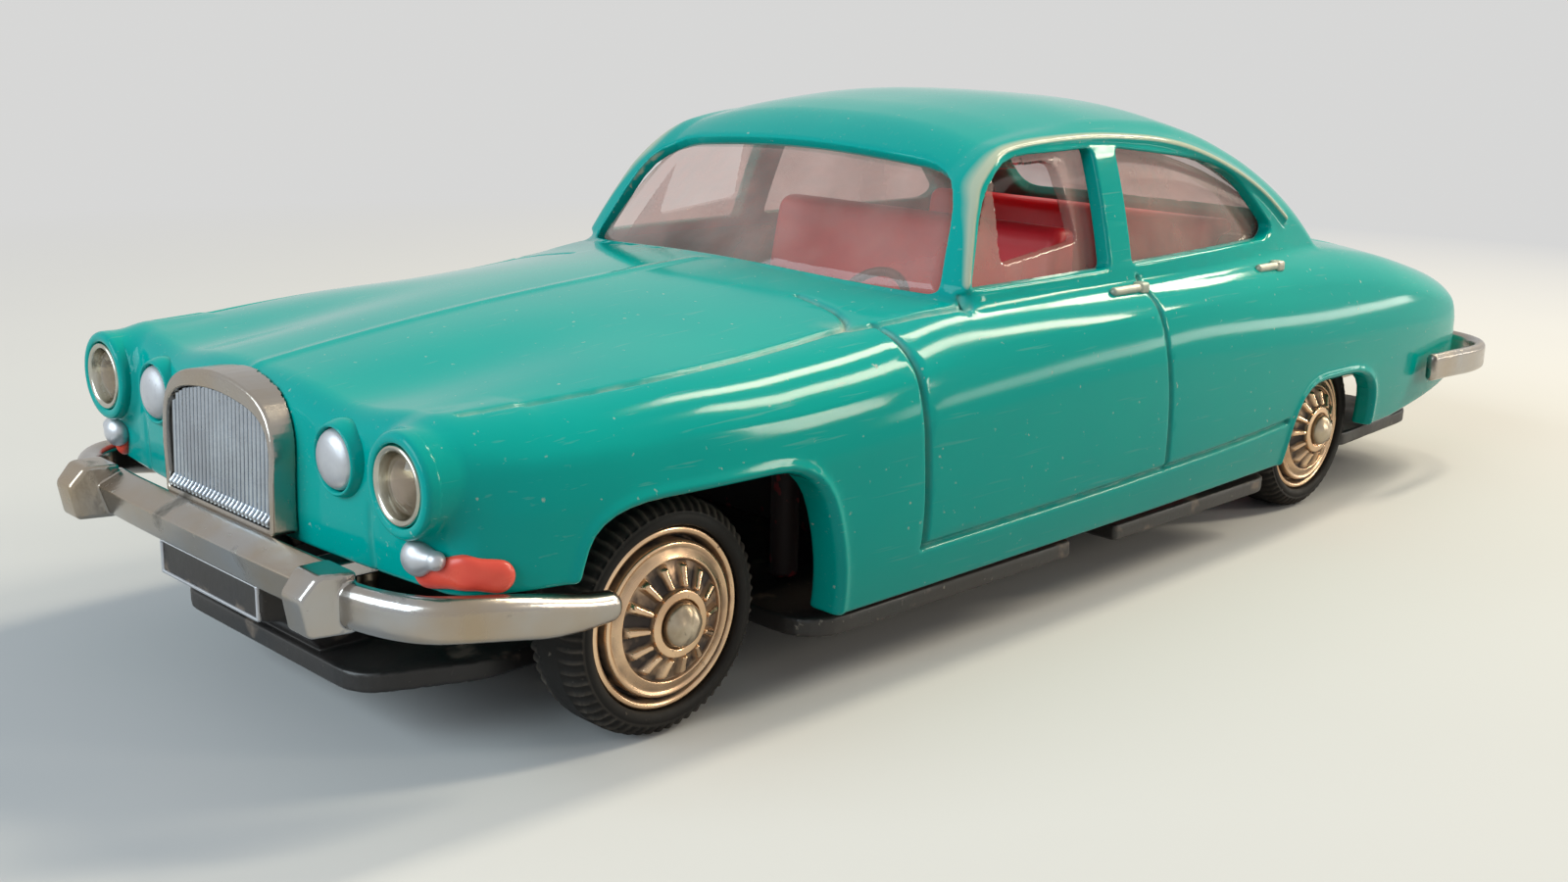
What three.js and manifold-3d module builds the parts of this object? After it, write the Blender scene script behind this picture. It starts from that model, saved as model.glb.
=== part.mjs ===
// A plastic toy saloon car of about 1:43 scale. A one-piece body shell sits over a clear glazing bubble and
// a seat tub, on a flat baseplate that carries two nail-headed axles with free-running wheels.
// Millimetres, +Z up, nose towards -Y, the car's left side towards +X, wheels standing on z = 0.
import * as THREE from "three";
import { mergeVertices } from "three/addons/utils/BufferGeometryUtils.js";
import Module from "manifold-3d";

const wasm = await Module();
wasm.setup();

// Running gear
const FRONT_AXLE_Y = -41.9;
const REAR_AXLE_Y = 29.5;
const TYRE_RADIUS = 6.9;
const TYRE_BORE = 5.4;
const TYRE_OUTER_X = 18.7;
const TYRE_WIDTH = 4.4;
const HUB_RADIUS = 5.1;
const HUB_BORE = 1.0;
const AXLE_RADIUS = 0.75;
const AXLE_HEAD_RADIUS = 1.25;
const AXLE_HEAD_X = 19.8;
const AXLE_HEAD_HEIGHT = 0.8;
const BEARING_RADIUS = 1.0;

// Body shell
const WALL = 1.1;
const GLAZING_INSET = 1.9;
const GLAZING_WALL = 0.7;
const BODY_FRONT_Y = -57.4;
const BODY_REAR_Y = 59.2;
const WIDEST_Z = 12;
const WAIST_Z = 22.8;
const LAMP_Z = 16.9;
const LAMP_FRONT_Y = -57.7;
const OUTER_LAMP_X = 16.4;
const INNER_LAMP_X = 10.3;
const HOOD_RADIUS = 2.75;
const BOWL_RADIUS = 2.05;
const DOME_RADIUS = 1.65;
const FIT_GAP = 0.3;

// Baseplate and its fixings
const BASE_BOTTOM_Z = 3.6;
const BASE_TOP_Z = 4.8;
const BASE_SIDE_X = 20.6;
const BASE_WAIST_X = 12.6;
const SCREW_FRONT_Y = -49.5;
const SCREW_REAR_Y = 46;
const BOSS_RADIUS = 2.2;
const SCREW_RADIUS = 0.7;
const SCREW_HEAD_RADIUS = 1.7;

// Plated trim
const GRILLE_BOTTOM_Z = 12;
const GRILLE_TOP_Z = 19.9;
const GRILLE_HALF_WIDTH = 6.3;
const GRILLE_DEPTH = 1.1;
const GRILLE_SLATS = 23;
const BUMPER_HALF_HEIGHT = 1.2;
const PLATE_HALF_WIDTH = 5.7;

const { clamp, lerp, smoothstep } = THREE.MathUtils;

// A smooth curve through [position, value] keys that never overshoots them.
function curve(keys) {
  const last = keys.length - 1;
  const slopes = keys.slice(1).map(([x, v], i) => (v - keys[i][1]) / (x - keys[i][0]));
  const tangents = keys.map((_, i) => {
    const before = slopes[Math.max(i - 1, 0)];
    const after = slopes[Math.min(i, last - 1)];
    return before * after <= 0 ? 0 : (2 * before * after) / (before + after);
  });
  return (position) => {
    const x = clamp(position, keys[0][0], keys[last][0]);
    let i = 0;
    while (i < last - 1 && keys[i + 1][0] <= x) i += 1;
    const span = keys[i + 1][0] - keys[i][0];
    const t = (x - keys[i][0]) / span;
    const rise = t * t * (3 - 2 * t);
    return (
      lerp(keys[i][1], keys[i + 1][1], rise) +
      span * (tangents[i] * t * (1 - t) ** 2 - tangents[i + 1] * t * t * (1 - t))
    );
  };
}

// Rounded intersection and rounded union of two forms, each negative inside.
const both = (a, b, radius) =>
  Math.min(-radius, Math.max(a, b)) + Math.hypot(Math.max(radius + a, 0), Math.max(radius + b, 0));
const either = (a, b, radius) =>
  Math.max(radius, Math.min(a, b)) - Math.hypot(Math.max(radius - a, 0), Math.max(radius - b, 0));

// Side outline of bonnet and boot on the centre line, and how far they fall away towards the wings.
const deckHeight = curve([
  [-58, 19.8], [-52, 20.7], [-46, 21.5], [-40, 22.15], [-34, 22.65], [-27.5, 23.1], [-20, 23.45],
  [0, 23.2], [22, 23.2], [31, 23], [39, 22.1], [48, 20.2], [55, 18.3], [60, 16.4],
]);
const deckFall = curve([
  [-58, -0.2], [-52, 0.75], [-48, 1], [-42, 1.25], [-34, 1.65], [-30, 1.7], [-24, 1.5], [-17, 0.9],
  [-7, 0.72], [20, 0.8], [35, 1.2], [60, 1.3],
]);
// Height of the crease along the side.
const creaseHeight = curve([
  [-58, 17.2], [-50, 17.1], [-43, 16.85], [-36, 16.85], [-28, 17.25], [-19, 17.7], [-6, 18.2], [4, 18.25],
  [14, 17.8], [24, 17.2], [40, 16.6], [60, 15],
]);
// Half width of the body at its widest height.
const bodyWidth = curve([
  [-58, 17.6], [-55, 19.5], [-51, 20.8], [-46, 21.6], [-38, 22.1], [-22, 22.35], [0, 22.4],
  [18, 22.2], [35, 21.6], [45, 20.9], [52, 19.9], [57, 18.4], [60, 16.5],
]);
// Roof on the centre line, and half width of the cabin at the waist.
const roofHeight = curve([
  [-16, 31.2], [-12, 32.5], [-6, 33.7], [2, 34.3], [9, 34], [14, 33.1], [19, 31.6],
  [24, 29.5], [28, 27.2], [34, 22], [44, 12],
]);
const cabinWidth = curve([[-20, 18.9], [-8, 19.25], [4, 19.2], [20, 18.3], [32, 16.8]]);

// The lower body: sides with a crease line, bonnet and boot, rounded nose and tail, and lamp hoods.
function lowerForm(x, y, z) {
  const across = Math.abs(x);
  const width = bodyWidth(y);
  const belly = (z < WIDEST_Z ? 0.0205 : 0.008) * (z - WIDEST_Z) ** 2;
  const flank = across - (width - belly);
  const rise = z - creaseHeight(y);
  const shoulder = (across - (width - 0.3 - 0.36 * rise - 0.02 * Math.max(rise, 0) ** 2)) / 1.06;
  const valley = 0.6 * (1 - smoothstep(y, -53, -33)) * Math.exp(-(((across - 9.5) / 3.8) ** 2));
  const top = z - (deckHeight(y) - deckFall(y) * (across / 16.5) ** 2 - valley);
  const noseLean = 0.02 * (Math.max(z - 15, 0) ** 2 + Math.max(14 - z, 0) ** 2);
  const front = BODY_FRONT_Y + 0.0035 * across ** 2 + noseLean - y;
  const tailLean = 0.03 * Math.max(z - 13, 0) ** 2 + 0.02 * Math.max(12 - z, 0) ** 2;
  const rear = y - (BODY_REAR_Y - 0.008 * across ** 2 - tailLean);
  let form = both(both(flank, shoulder, 0.5), top, 2.2);
  form = both(form, front, 1.3);
  const hood = Math.hypot(across - OUTER_LAMP_X, z - LAMP_Z) - HOOD_RADIUS;
  form = either(form, both(hood, Math.abs(y - LAMP_FRONT_Y - 3.8) - 3.8, 0.4), 0.9);
  return both(both(form, rear, 2), 3 - z, 0.5);
}

// The cabin: leaning sides, raked and bowed windscreen, and one crowned sweep of roof and rear window.
function cabinForm(x, y, z) {
  const across = Math.abs(x);
  const rise = z - WAIST_Z;
  const side = (across - (cabinWidth(y) - 0.26 * rise - 0.01 * rise ** 2)) / 1.08;
  const bow = 3.9 * (1 - rise / 14) * (across / 16.5) ** 2;
  const screen = (-22.4 + 1.05 * rise + bow - y) / 1.4;
  const top = (z - (roofHeight(y) - 1.7 * (across / 15) ** 2.6)) / 1.1;
  return both(both(both(side, screen, 1), top, 1.4), 14 - z, 0.5);
}

// Geometry and solids
function solidOf(geometry) {
  const source = geometry.index ? geometry.toNonIndexed() : geometry;
  const bare = new THREE.BufferGeometry().setAttribute("position", source.getAttribute("position"));
  const merged = mergeVertices(bare, 1e-4);
  const corners = merged.index.array;
  const kept = [];
  for (let i = 0; i < corners.length; i += 3) {
    const [a, b, c] = corners.slice(i, i + 3);
    if (a !== b && b !== c && c !== a) kept.push(a, b, c);
  }
  return new wasm.Manifold(
    new wasm.Mesh({
      numProp: 3,
      vertProperties: merged.getAttribute("position").array,
      triVerts: new Uint32Array(kept),
    }),
  );
}

function geometryOf(solid) {
  const mesh = solid.getMesh();
  return new THREE.BufferGeometry()
    .setAttribute("position", new THREE.BufferAttribute(mesh.vertProperties, 3))
    .setIndex(new THREE.BufferAttribute(mesh.triVerts, 1));
}

// A closed grid of rings, each a list of points, joined in turn and back to the first.
function gridGeometry(rings, closed) {
  const positions = [];
  const count = rings.length;
  const width = rings[0].length;
  const quad = (a, b, c, d) => [a, b, c, a, c, d].forEach((p) => positions.push(...p));
  for (let i = 0; i < (closed ? count : count - 1); i += 1) {
    const here = rings[i];
    const next = rings[(i + 1) % count];
    for (let j = 0; j + 1 < width; j += 1) quad(here[j], next[j], next[j + 1], here[j + 1]);
  }
  return new THREE.BufferGeometry().setAttribute(
    "position",
    new THREE.Float32BufferAttribute(positions, 3),
  );
}

// The skin of a form, set in by a depth, found along rays that leave an axis inside it: rings run along the
// top of the axis, fan round the tail, come back below and fan round the nose.
function skin(form, inset, axis, counts) {
  const stations = [];
  const station = (t, lean) =>
    stations.push({
      y: lerp(axis.front.y, axis.rear.y, t),
      z: lerp(axis.front.z, axis.rear.z, t),
      lean,
    });
  for (let i = 0; i <= counts.along; i += 1) station(i / counts.along, 0);
  for (let i = 1; i < counts.fan; i += 1) station(1, (Math.PI * i) / counts.fan);
  for (let i = counts.along; i >= 0; i -= 1) station(i / counts.along, Math.PI);
  for (let i = 1; i < counts.fan; i += 1) station(0, Math.PI + (Math.PI * i) / counts.fan);
  const rings = stations.map(({ y, z, lean }) => {
    const ring = [];
    for (let j = 0; j <= counts.across; j += 1) {
      const turn = (Math.PI * j) / counts.across;
      const ray = [
        Math.cos(turn),
        Math.sin(turn) * Math.sin(lean),
        Math.sin(turn) * Math.cos(lean),
      ];
      let near = 0;
      let far = 80;
      for (let step = 0; step < 36; step += 1) {
        const middle = (near + far) / 2;
        const inside = form(ray[0] * middle, y + ray[1] * middle, z + ray[2] * middle) < -inset;
        if (inside) near = middle;
        else far = middle;
      }
      ring.push([ray[0] * near, y + ray[1] * near, z + ray[2] * near]);
    }
    return ring;
  });
  return solidOf(gridGeometry(rings, true));
}

// An outline through corner points, each rounded by its own radius, up to half of the sides beside it.
function roundedOutline(corners) {
  const shape = new THREE.Shape();
  corners.forEach(([u, v, radius], i) => {
    const here = new THREE.Vector2(u, v);
    const towards = ([a, b]) => {
      const way = new THREE.Vector2(a, b).sub(here);
      return way.setLength(Math.min(radius, 0.49 * way.length())).add(here);
    };
    const start = towards(corners[(i + corners.length - 1) % corners.length]);
    const end = towards(corners[(i + 1) % corners.length]);
    if (i === 0) shape.moveTo(start.x, start.y);
    else shape.lineTo(start.x, start.y);
    if (radius > 0) shape.quadraticCurveTo(u, v, end.x, end.y);
  });
  shape.closePath();
  return shape;
}

const AXIS_MATRIX = {
  x: (low) => new THREE.Matrix4().set(0, 0, 1, low, 1, 0, 0, 0, 0, 1, 0, 0, 0, 0, 0, 1),
  y: (low, high) => new THREE.Matrix4().set(1, 0, 0, 0, 0, 0, -1, high, 0, 1, 0, 0, 0, 0, 0, 1),
  z: (low) => new THREE.Matrix4().makeTranslation(0, 0, low),
};

// A straight prism of an outline, drawn in (y, z) along x, in (x, z) along y and in (x, y) along z.
function prism(shape, axis, low, high, segments = 4) {
  const geometry = new THREE.ExtrudeGeometry(shape, {
    depth: high - low,
    bevelEnabled: false,
    curveSegments: segments,
  });
  return solidOf(geometry.applyMatrix4(AXIS_MATRIX[axis](low, high)));
}

function block(low, high) {
  const size = low.map((v, i) => high[i] - v);
  const middle = low.map((v, i) => (high[i] + v) / 2);
  return solidOf(new THREE.BoxGeometry(...size).translate(...middle));
}

// A turned piece. Its profile is a list of [radius, distance along the axis], from the axis back to it or
// closed on itself. The axis runs along x, y or z through a centre point.
function turned(profile, axis, centre, segments = 32) {
  const points = profile.map(([r, h]) => new THREE.Vector2(r, h));
  const geometry = new THREE.LatheGeometry(points, segments);
  if (axis === "x") geometry.rotateZ(-Math.PI / 2);
  if (axis === "z") geometry.rotateX(Math.PI / 2);
  return solidOf(geometry.translate(...centre));
}

const rod = (axis, radius, low, high, centre, segments = 16) =>
  turned([[0, low], [radius, low], [radius, high], [0, high]], axis, centre, segments);

const mirrored = (solid) => solid.mirror([1, 0, 0]);
const joined = (solids) => solids.reduce((sum, next) => sum.add(next));

// Materials
const finish = (color, roughness, metalness, extra = {}) =>
  new THREE.MeshStandardMaterial({ color, roughness, metalness, ...extra });
const TEAL = finish(0x008c80, 0.28, 0);
const RED = finish(0xb01c2c, 0.4, 0);
const BLACK = finish(0x16161a, 0.55, 0);
const RUBBER = finish(0x0e0e0f, 0.8, 0);
const PLATED = finish(0xb4b4b0, 0.25, 1);
const STEEL = finish(0x8f8a82, 0.4, 1);
const CLEAR = finish(0xe6e0da, 0.1, 0, { transparent: true, opacity: 0.35 });

// Openings in the body, drawn from the side in (y, z) or from the end in (x, z); the third number rounds.
const FRONT_ARCH = [
  [-50.6, 2, 0], [-50, 11, 2], [-48.6, 15, 4], [-33.6, 15, 3.4], [-31.4, 7.5, 3], [-30.9, 2, 0],
];
const REAR_ARCH = [[20.4, 2, 0], [20.7, 12, 4.5], [34.2, 11.8, 5], [35.5, 6.4, 1.5], [35.6, 2, 0]];
const FRONT_WINDOW = [[-16.85, 22.95, 0.6], [-12.6, 30.75, 4.5], [-1.4, 31.05, 0.5], [-2.2, 23.1, 0.5]];
const REAR_WINDOW = [[0.6, 23.2, 0.5], [1.4, 31, 0.6], [16.5, 29.4, 7], [22, 24.2, 0.8], [20.6, 23.4, 0.6]];
const SCREEN = [[-17.2, 22.6, 0.8], [-14.9, 30.9, 4], [14.9, 30.9, 4], [17.2, 22.6, 0.8], [0, 23.75, 9]];
const BACKLIGHT = [[-13, 24.6, 2], [-10.5, 30.6, 2.5], [10.5, 30.6, 2.5], [13, 24.6, 2]];
// What is cut away under the shell, seen from the side: nose, sill and tail stand at different heights.
const UNDERCUT = [
  [-70, 0, 0], [70, 0, 0], [70, 8.4, 0], [56, 8, 2], [40, 6.6, 0], [28, 6.5, 0], [27.9, 5.8, 0],
  [-40, 5.1, 0], [-40.1, 11.4, 0], [-70, 11.4, 0],
];

// Lines inside the two forms that their skins are measured from.
const LOWER_AXIS = { front: { y: -50, z: 13.5 }, rear: { y: 50, z: 12 } };
const CABIN_AXIS = { front: { y: -9, z: 19 }, rear: { y: 14, z: 19 } };

function makeBodyShell() {
  const lower = skin(lowerForm, 0, LOWER_AXIS, { along: 16, fan: 12, across: 26 });
  const cabin = skin(cabinForm, 0, CABIN_AXIS, { along: 8, fan: 12, across: 18 });
  const lowerHollow = skin(lowerForm, WALL, LOWER_AXIS, { along: 8, fan: 10, across: 18 });
  const cabinHollow = skin(cabinForm, WALL, CABIN_AXIS, { along: 6, fan: 10, across: 16 });
  let shell = lower.add(cabin).subtract(lowerHollow.add(cabinHollow));
  const sideCuts = [UNDERCUT, FRONT_ARCH, REAR_ARCH, FRONT_WINDOW, REAR_WINDOW];
  sideCuts.forEach((outline) => {
    shell = shell.subtract(prism(roundedOutline(outline), "x", -30, 30));
  });
  shell = shell.subtract(prism(roundedOutline(SCREEN), "y", -30, -10));
  shell = shell.subtract(prism(roundedOutline(BACKLIGHT), "y", 14, 40));
  [-1, 1].forEach((side) => {
    const bowlSeat = rod("y", BOWL_RADIUS + FIT_GAP, -64, -52, [side * OUTER_LAMP_X, 0, LAMP_Z]);
    const domeSeat = rod("y", DOME_RADIUS + FIT_GAP, -64, -54, [side * INNER_LAMP_X, 0, LAMP_Z]);
    shell = shell.subtract(bowlSeat).subtract(domeSeat);
  });
  [SCREW_FRONT_Y, SCREW_REAR_Y].forEach((y) => {
    const top = deckHeight(y) - WALL / 2;
    const boss = rod("z", BOSS_RADIUS, BASE_TOP_Z + FIT_GAP, top, [0, y, 0], 16);
    const pilot = rod("z", SCREW_RADIUS + FIT_GAP, 0, 14, [0, y, 0], 12);
    shell = shell.add(boss).subtract(pilot);
  });
  return shell;
}

// A clear bubble inside the cabin, open over the front doors and at the bottom.
function makeGlazing() {
  const outer = skin(cabinForm, GLAZING_INSET, CABIN_AXIS, { along: 6, fan: 10, across: 16 });
  const inner = skin(cabinForm, GLAZING_INSET + GLAZING_WALL, CABIN_AXIS, { along: 6, fan: 8, across: 14 });
  const open = [[-14.4, 24.2, 1], [-11.8, 29.9, 1.6], [-4.4, 30.2, 1], [-4.2, 24.5, 0.6], [-9, 23.8, 3]];
  return outer
    .subtract(inner)
    .subtract(block([-40, -70, 0], [40, 70, WAIST_Z]))
    .subtract(prism(roundedOutline(open), "x", -30, 30));
}

// Seat tub: dash shelf, bulkhead, floor and two benches in one moulding, with two pegs under the shelf.
function makeInterior() {
  const halfWidth = 14.1;
  const outline = [
    [-28.9, 15.4, 0.3], [-28.9, 17.4, 0.5], [-18.6, 20.4, 1], [-17.4, 17.2, 1], [-18.6, 15.8, 0.6],
    [-18.9, 6.4, 0.6], [-14, 6.4, 0.5], [-13.2, 12.4, 1.4], [-4.4, 11.2, 1], [-1.6, 25.2, 1.2],
    [0.8, 25.2, 0.9], [1.4, 6.4, 0.5], [8, 6.4, 0.5], [8.8, 12.8, 1.4], [15.4, 11.6, 1],
    [17.6, 24.8, 1], [22.4, 24.4, 0.5], [22.4, 23.2, 0.4], [20.4, 23, 1], [18.4, 5.2, 0],
    [-20.4, 5.2, 0], [-20.6, 15.4, 0.8],
  ];
  const tub = prism(roundedOutline(outline), "x", -halfWidth, halfWidth, 3);
  const pegs = [-1, 1].map((side) => rod("z", 0.9, 5.2, 16.5, [side * 13.6, -27.9, 0], 12));
  return joined([tub, ...pegs]);
}

// Steering wheel on its column, leaning towards the driver on the car's left.
function makeSteeringWheel() {
  const rim = solidOf(new THREE.TorusGeometry(3, 0.35, 6, 18));
  const spoke = solidOf(new THREE.CylinderGeometry(0.3, 0.3, 5.8, 8).rotateZ(Math.PI / 2));
  const column = rod("z", 0.5, -2.3, 0.3, [0, 0, 0], 12);
  return joined([rim, spoke, column]).rotate([55, 0, 0]).translate([8, -14.6, 20]);
}

// Flat tray under the car, drawn in at the wheels, with axle bearings and a front plate tab.
function makeBaseplate() {
  const side = [
    [10, -56.5, 2], [BASE_WAIST_X, -50, 1], [BASE_WAIST_X, -32.6, 0.5], [BASE_SIDE_X, -32.6, 3.2],
    [BASE_SIDE_X, -6.7, 0.4], [BASE_SIDE_X - 3, -6.7, 0.4], [BASE_SIDE_X - 3, -1.4, 0.4],
    [BASE_SIDE_X, -1.4, 0.4], [BASE_SIDE_X, 20.2, 2], [BASE_WAIST_X, 20.2, 0.5], [BASE_WAIST_X, 37.6, 0.5],
    [17.5, 37.6, 1.5], [16.5, 54, 3],
  ];
  const otherSide = side.map(([x, y, r]) => [-x, y, r]).reverse();
  let base = prism(roundedOutline([...side, ...otherSide]), "z", BASE_BOTTOM_Z, BASE_TOP_Z, 3);
  [FRONT_AXLE_Y, REAR_AXLE_Y].forEach((y) => {
    [-1, 1].forEach((sign) => {
      const tower = [[y - 2.6, 4.2, 0], [y - 1.9, 9, 1.5], [y + 1.9, 9, 1.5], [y + 2.6, 4.2, 0]];
      const inner = Math.min(sign * 8.4, sign * 11.4);
      base = base.add(prism(roundedOutline(tower), "x", inner, inner + 3));
    });
    base = base.subtract(rod("x", BEARING_RADIUS, -20, 20, [0, y, TYRE_RADIUS]));
  });
  const tab = [
    [-52.5, BASE_BOTTOM_Z, 0], [-52.5, BASE_TOP_Z, 0], [-58.3, 8.6, 0], [-58.3, 9.5, 0.2], [-59.5, 9.5, 0.2],
    [-59.5, 7.3, 0.2], [-58.2, 7.1, 0.5], [-54.5, BASE_BOTTOM_Z, 1],
  ];
  base = base.add(prism(roundedOutline(tab), "x", -PLATE_HALF_WIDTH, PLATE_HALF_WIDTH));
  [SCREW_FRONT_Y, SCREW_REAR_Y].forEach((y) => {
    base = base.subtract(rod("z", SCREW_RADIUS + FIT_GAP, 0, 20, [0, y, 0], 12));
  });
  return base;
}

// Self-tapping screw with a low domed head under the baseplate.
function makeScrew(y) {
  const head = BASE_BOTTOM_Z - FIT_GAP;
  const profile = [
    [0, head - 0.7], [SCREW_HEAD_RADIUS * 0.8, head - 0.5], [SCREW_HEAD_RADIUS, head], [SCREW_RADIUS, head],
    [SCREW_RADIUS, 11.6], [0, 12.5],
  ];
  return turned(profile, "z", [0, y, 0], 16);
}

// Steel axle with a domed nail head at each end.
function makeAxle(y) {
  const end = AXLE_HEAD_X;
  const dome = (sign) =>
    [0, 1, 2, 3, 4].map((i) => {
      const angle = (i / 4) * (Math.PI / 2);
      return [AXLE_HEAD_RADIUS * Math.cos(angle), sign * (end + AXLE_HEAD_HEIGHT * Math.sin(angle))];
    });
  const profile = [
    ...dome(-1).reverse(), [AXLE_RADIUS, -end], [AXLE_RADIUS, end], ...dome(1),
  ];
  profile[0][0] = 0;
  profile[profile.length - 1][0] = 0;
  return turned(profile, "x", [0, y, TYRE_RADIUS], 16);
}

// Plated wheel: rim bead, groove, domed disc and a flat ring round the axle head.
function makeHub(y, sign) {
  const face = TYRE_OUTER_X;
  const back = TYRE_OUTER_X - TYRE_WIDTH + 0.4;
  const profile = [
    [HUB_BORE, back], [HUB_RADIUS, back], [HUB_RADIUS, face - 0.5], [4.98, face - 0.25], [4.8, face - 0.3],
    [4.72, face - 1.1], [4.5, face - 1.1], [4.45, face], [4.2, face - 0.05], [3.5, face + 0.2],
    [2.3, face + 0.6], [2.15, face + 0.95], [1.4, face + 1], [HUB_BORE, face + 0.75], [HUB_BORE, back],
  ];
  const hub = turned(profile, "x", [0, 0, 0], 24);
  const placed = sign > 0 ? hub : mirrored(hub);
  return placed.translate([0, y, TYRE_RADIUS]);
}

function makeTyre(y, sign) {
  const face = TYRE_OUTER_X;
  const back = TYRE_OUTER_X - TYRE_WIDTH;
  const profile = [
    [TYRE_BORE, back], [6.2, back], [6.75, back + 0.5], [TYRE_RADIUS, back + 1.1], [TYRE_RADIUS, face - 1.1],
    [6.75, face - 0.5], [6.2, face], [5.7, face + 0.1], [TYRE_BORE, face - 0.15], [TYRE_BORE, back],
  ];
  const tyre = turned(profile, "x", [0, 0, 0], 30);
  const placed = sign > 0 ? tyre : mirrored(tyre);
  return placed.translate([0, y, TYRE_RADIUS]);
}

// Round-topped grille: a deep frame round a backed field of upright slats.
function grilleOutline(inset) {
  const half = GRILLE_HALF_WIDTH - inset;
  const low = GRILLE_BOTTOM_Z + inset;
  const high = GRILLE_TOP_Z - inset;
  return roundedOutline([
    [-half + 0.5, low, 0.3], [half - 0.5, low, 0.3], [half, 18, 1.5], [half - 1.6, high - 0.5, 2],
    [0, high + 0.3, 3], [-half + 1.6, high - 0.5, 2], [-half, 18, 1.5],
  ]);
}

function makeGrille() {
  const back = BODY_FRONT_Y - FIT_GAP;
  const front = back - GRILLE_DEPTH;
  const frame = prism(grilleOutline(0), "y", front, back, 5);
  const field = prism(grilleOutline(0.6), "y", front - 1, back - 0.35, 5);
  const pitch = (2 * (GRILLE_HALF_WIDTH - 0.6)) / GRILLE_SLATS;
  let slats = null;
  for (let i = 0; i < GRILLE_SLATS; i += 1) {
    const x = (i - (GRILLE_SLATS - 1) / 2) * pitch;
    const slat = block([x - 0.14, front + 0.3, GRILLE_BOTTOM_Z + 0.3], [x + 0.14, back - 0.2, GRILLE_TOP_Z]);
    slats = slats ? slats.add(slat) : slat;
  }
  const kept = slats.intersect(prism(grilleOutline(0.4), "y", front, back - 0.2, 5));
  return frame.subtract(field).add(kept);
}

// A bumper is one section swept round a squared-off curve, from tip to tip, with its height falling away.
function sweptBumper({ tip, reach, halfWidth, depth, tipZ, middleZ }) {
  const SQUARENESS = 5;
  const section = [
    [-1, -0.8], [-0.5, -1], [-0.13, -0.6], [0, 0.05], [-0.13, 0.6], [-0.5, 1], [-1, 0.8],
  ].map(([out, up]) => [out * depth, up * BUMPER_HALF_HEIGHT]);
  const steps = 34;
  const rings = [];
  for (let i = 0; i <= steps; i += 1) {
    const turn = Math.PI * (i / steps);
    const power = 2 / SQUARENESS;
    const x = halfWidth * Math.sign(Math.cos(turn)) * Math.abs(Math.cos(turn)) ** power;
    const y = tip + reach * Math.sin(turn) ** power;
    const normal = new THREE.Vector2(
      Math.sign(x) * Math.abs(x / halfWidth) ** (SQUARENESS - 1) / halfWidth,
      Math.abs((y - tip) / reach) ** (SQUARENESS - 1) / reach,
    ).normalize();
    const z = lerp(tipZ, middleZ, smoothstep(Math.abs(y - tip), 0, Math.abs(reach) * 0.75));
    const taper = lerp(0.55, 1, smoothstep(Math.abs(y - tip), 0, 3));
    rings.push(section.map(([out, up]) => [x + normal.x * out, y + normal.y * out, z + up * taper]));
  }
  const ordered = reach > 0 ? rings : rings.map((ring) => ring.slice().reverse());
  const closedRings = ordered.map((ring) => [...ring, ring[0]]);
  const cap = (ring, flip) => {
    const fan = [];
    for (let i = 1; i + 1 < ring.length; i += 1) {
      fan.push(...ring[0], ...(flip ? ring[i + 1] : ring[i]), ...(flip ? ring[i] : ring[i + 1]));
    }
    return fan;
  };
  const walls = gridGeometry(closedRings, false).getAttribute("position").array;
  const ends = [...cap(ordered[0], false), ...cap(ordered[steps], true)];
  return new THREE.BufferGeometry().setAttribute(
    "position",
    new THREE.Float32BufferAttribute([...walls, ...ends], 3),
  );
}

function makeFrontBumper() {
  const bar = solidOf(
    sweptBumper({ tip: -47.2, reach: -13.2, halfWidth: 21.4, depth: 1.4, tipZ: 9.5, middleZ: 10.7 }),
  );
  const rider = [
    [-61.7, 9.6, 0.6], [-62, 11.6, 0.6], [-60.6, 12.6, 0.7], [-58.9, 12.4, 0.4], [-58.9, 9.2, 0.3],
  ];
  const riders = [-14.7, 12].map((x) => prism(roundedOutline(rider), "x", x, x + 2.7));
  const lugs = [-9, 7].map((x) => block([x, -59.6, 9.9], [x + 2, -54, 10.9]));
  return joined([bar, ...riders, ...lugs]);
}

function makeRearBumper() {
  const bar = solidOf(
    sweptBumper({ tip: 44.5, reach: 17.4, halfWidth: 22.35, depth: 1, tipZ: 10.6, middleZ: 10.2 }),
  );
  const lugs = [-9, 7].map((x) => block([x, 54, 6.2], [x + 2, 61, 7.8]).add(
    block([x, 60.5, 6.2], [x + 2, 61.4, 10]),
  ));
  return joined([bar, ...lugs]);
}

// Headlamp bowl open to the front, with a stepped rim for its lens.
function makeLampBowl(side) {
  const front = LAMP_FRONT_Y;
  const profile = [
    [0, front + 3.4], [0.8, front + 3.4], [BOWL_RADIUS, front + 2], [BOWL_RADIUS, front], [1.9, front],
    [1.75, front + 0.7], [1.5, front + 0.9], [0.55, front + 2.2], [0, front + 2.3],
  ];
  return turned(profile.reverse(), "y", [side * OUTER_LAMP_X, 0, LAMP_Z], 20);
}

function makeLampLens(side) {
  const seat = LAMP_FRONT_Y + 0.55;
  const profile = [
    [0, seat - 0.45], [0.8, seat - 0.36], [1.4, seat - 0.12], [1.5, seat], [1.42, seat + 0.15],
    [0, seat + 0.15],
  ];
  return turned(profile, "y", [side * OUTER_LAMP_X, 0, LAMP_Z], 20);
}

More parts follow.
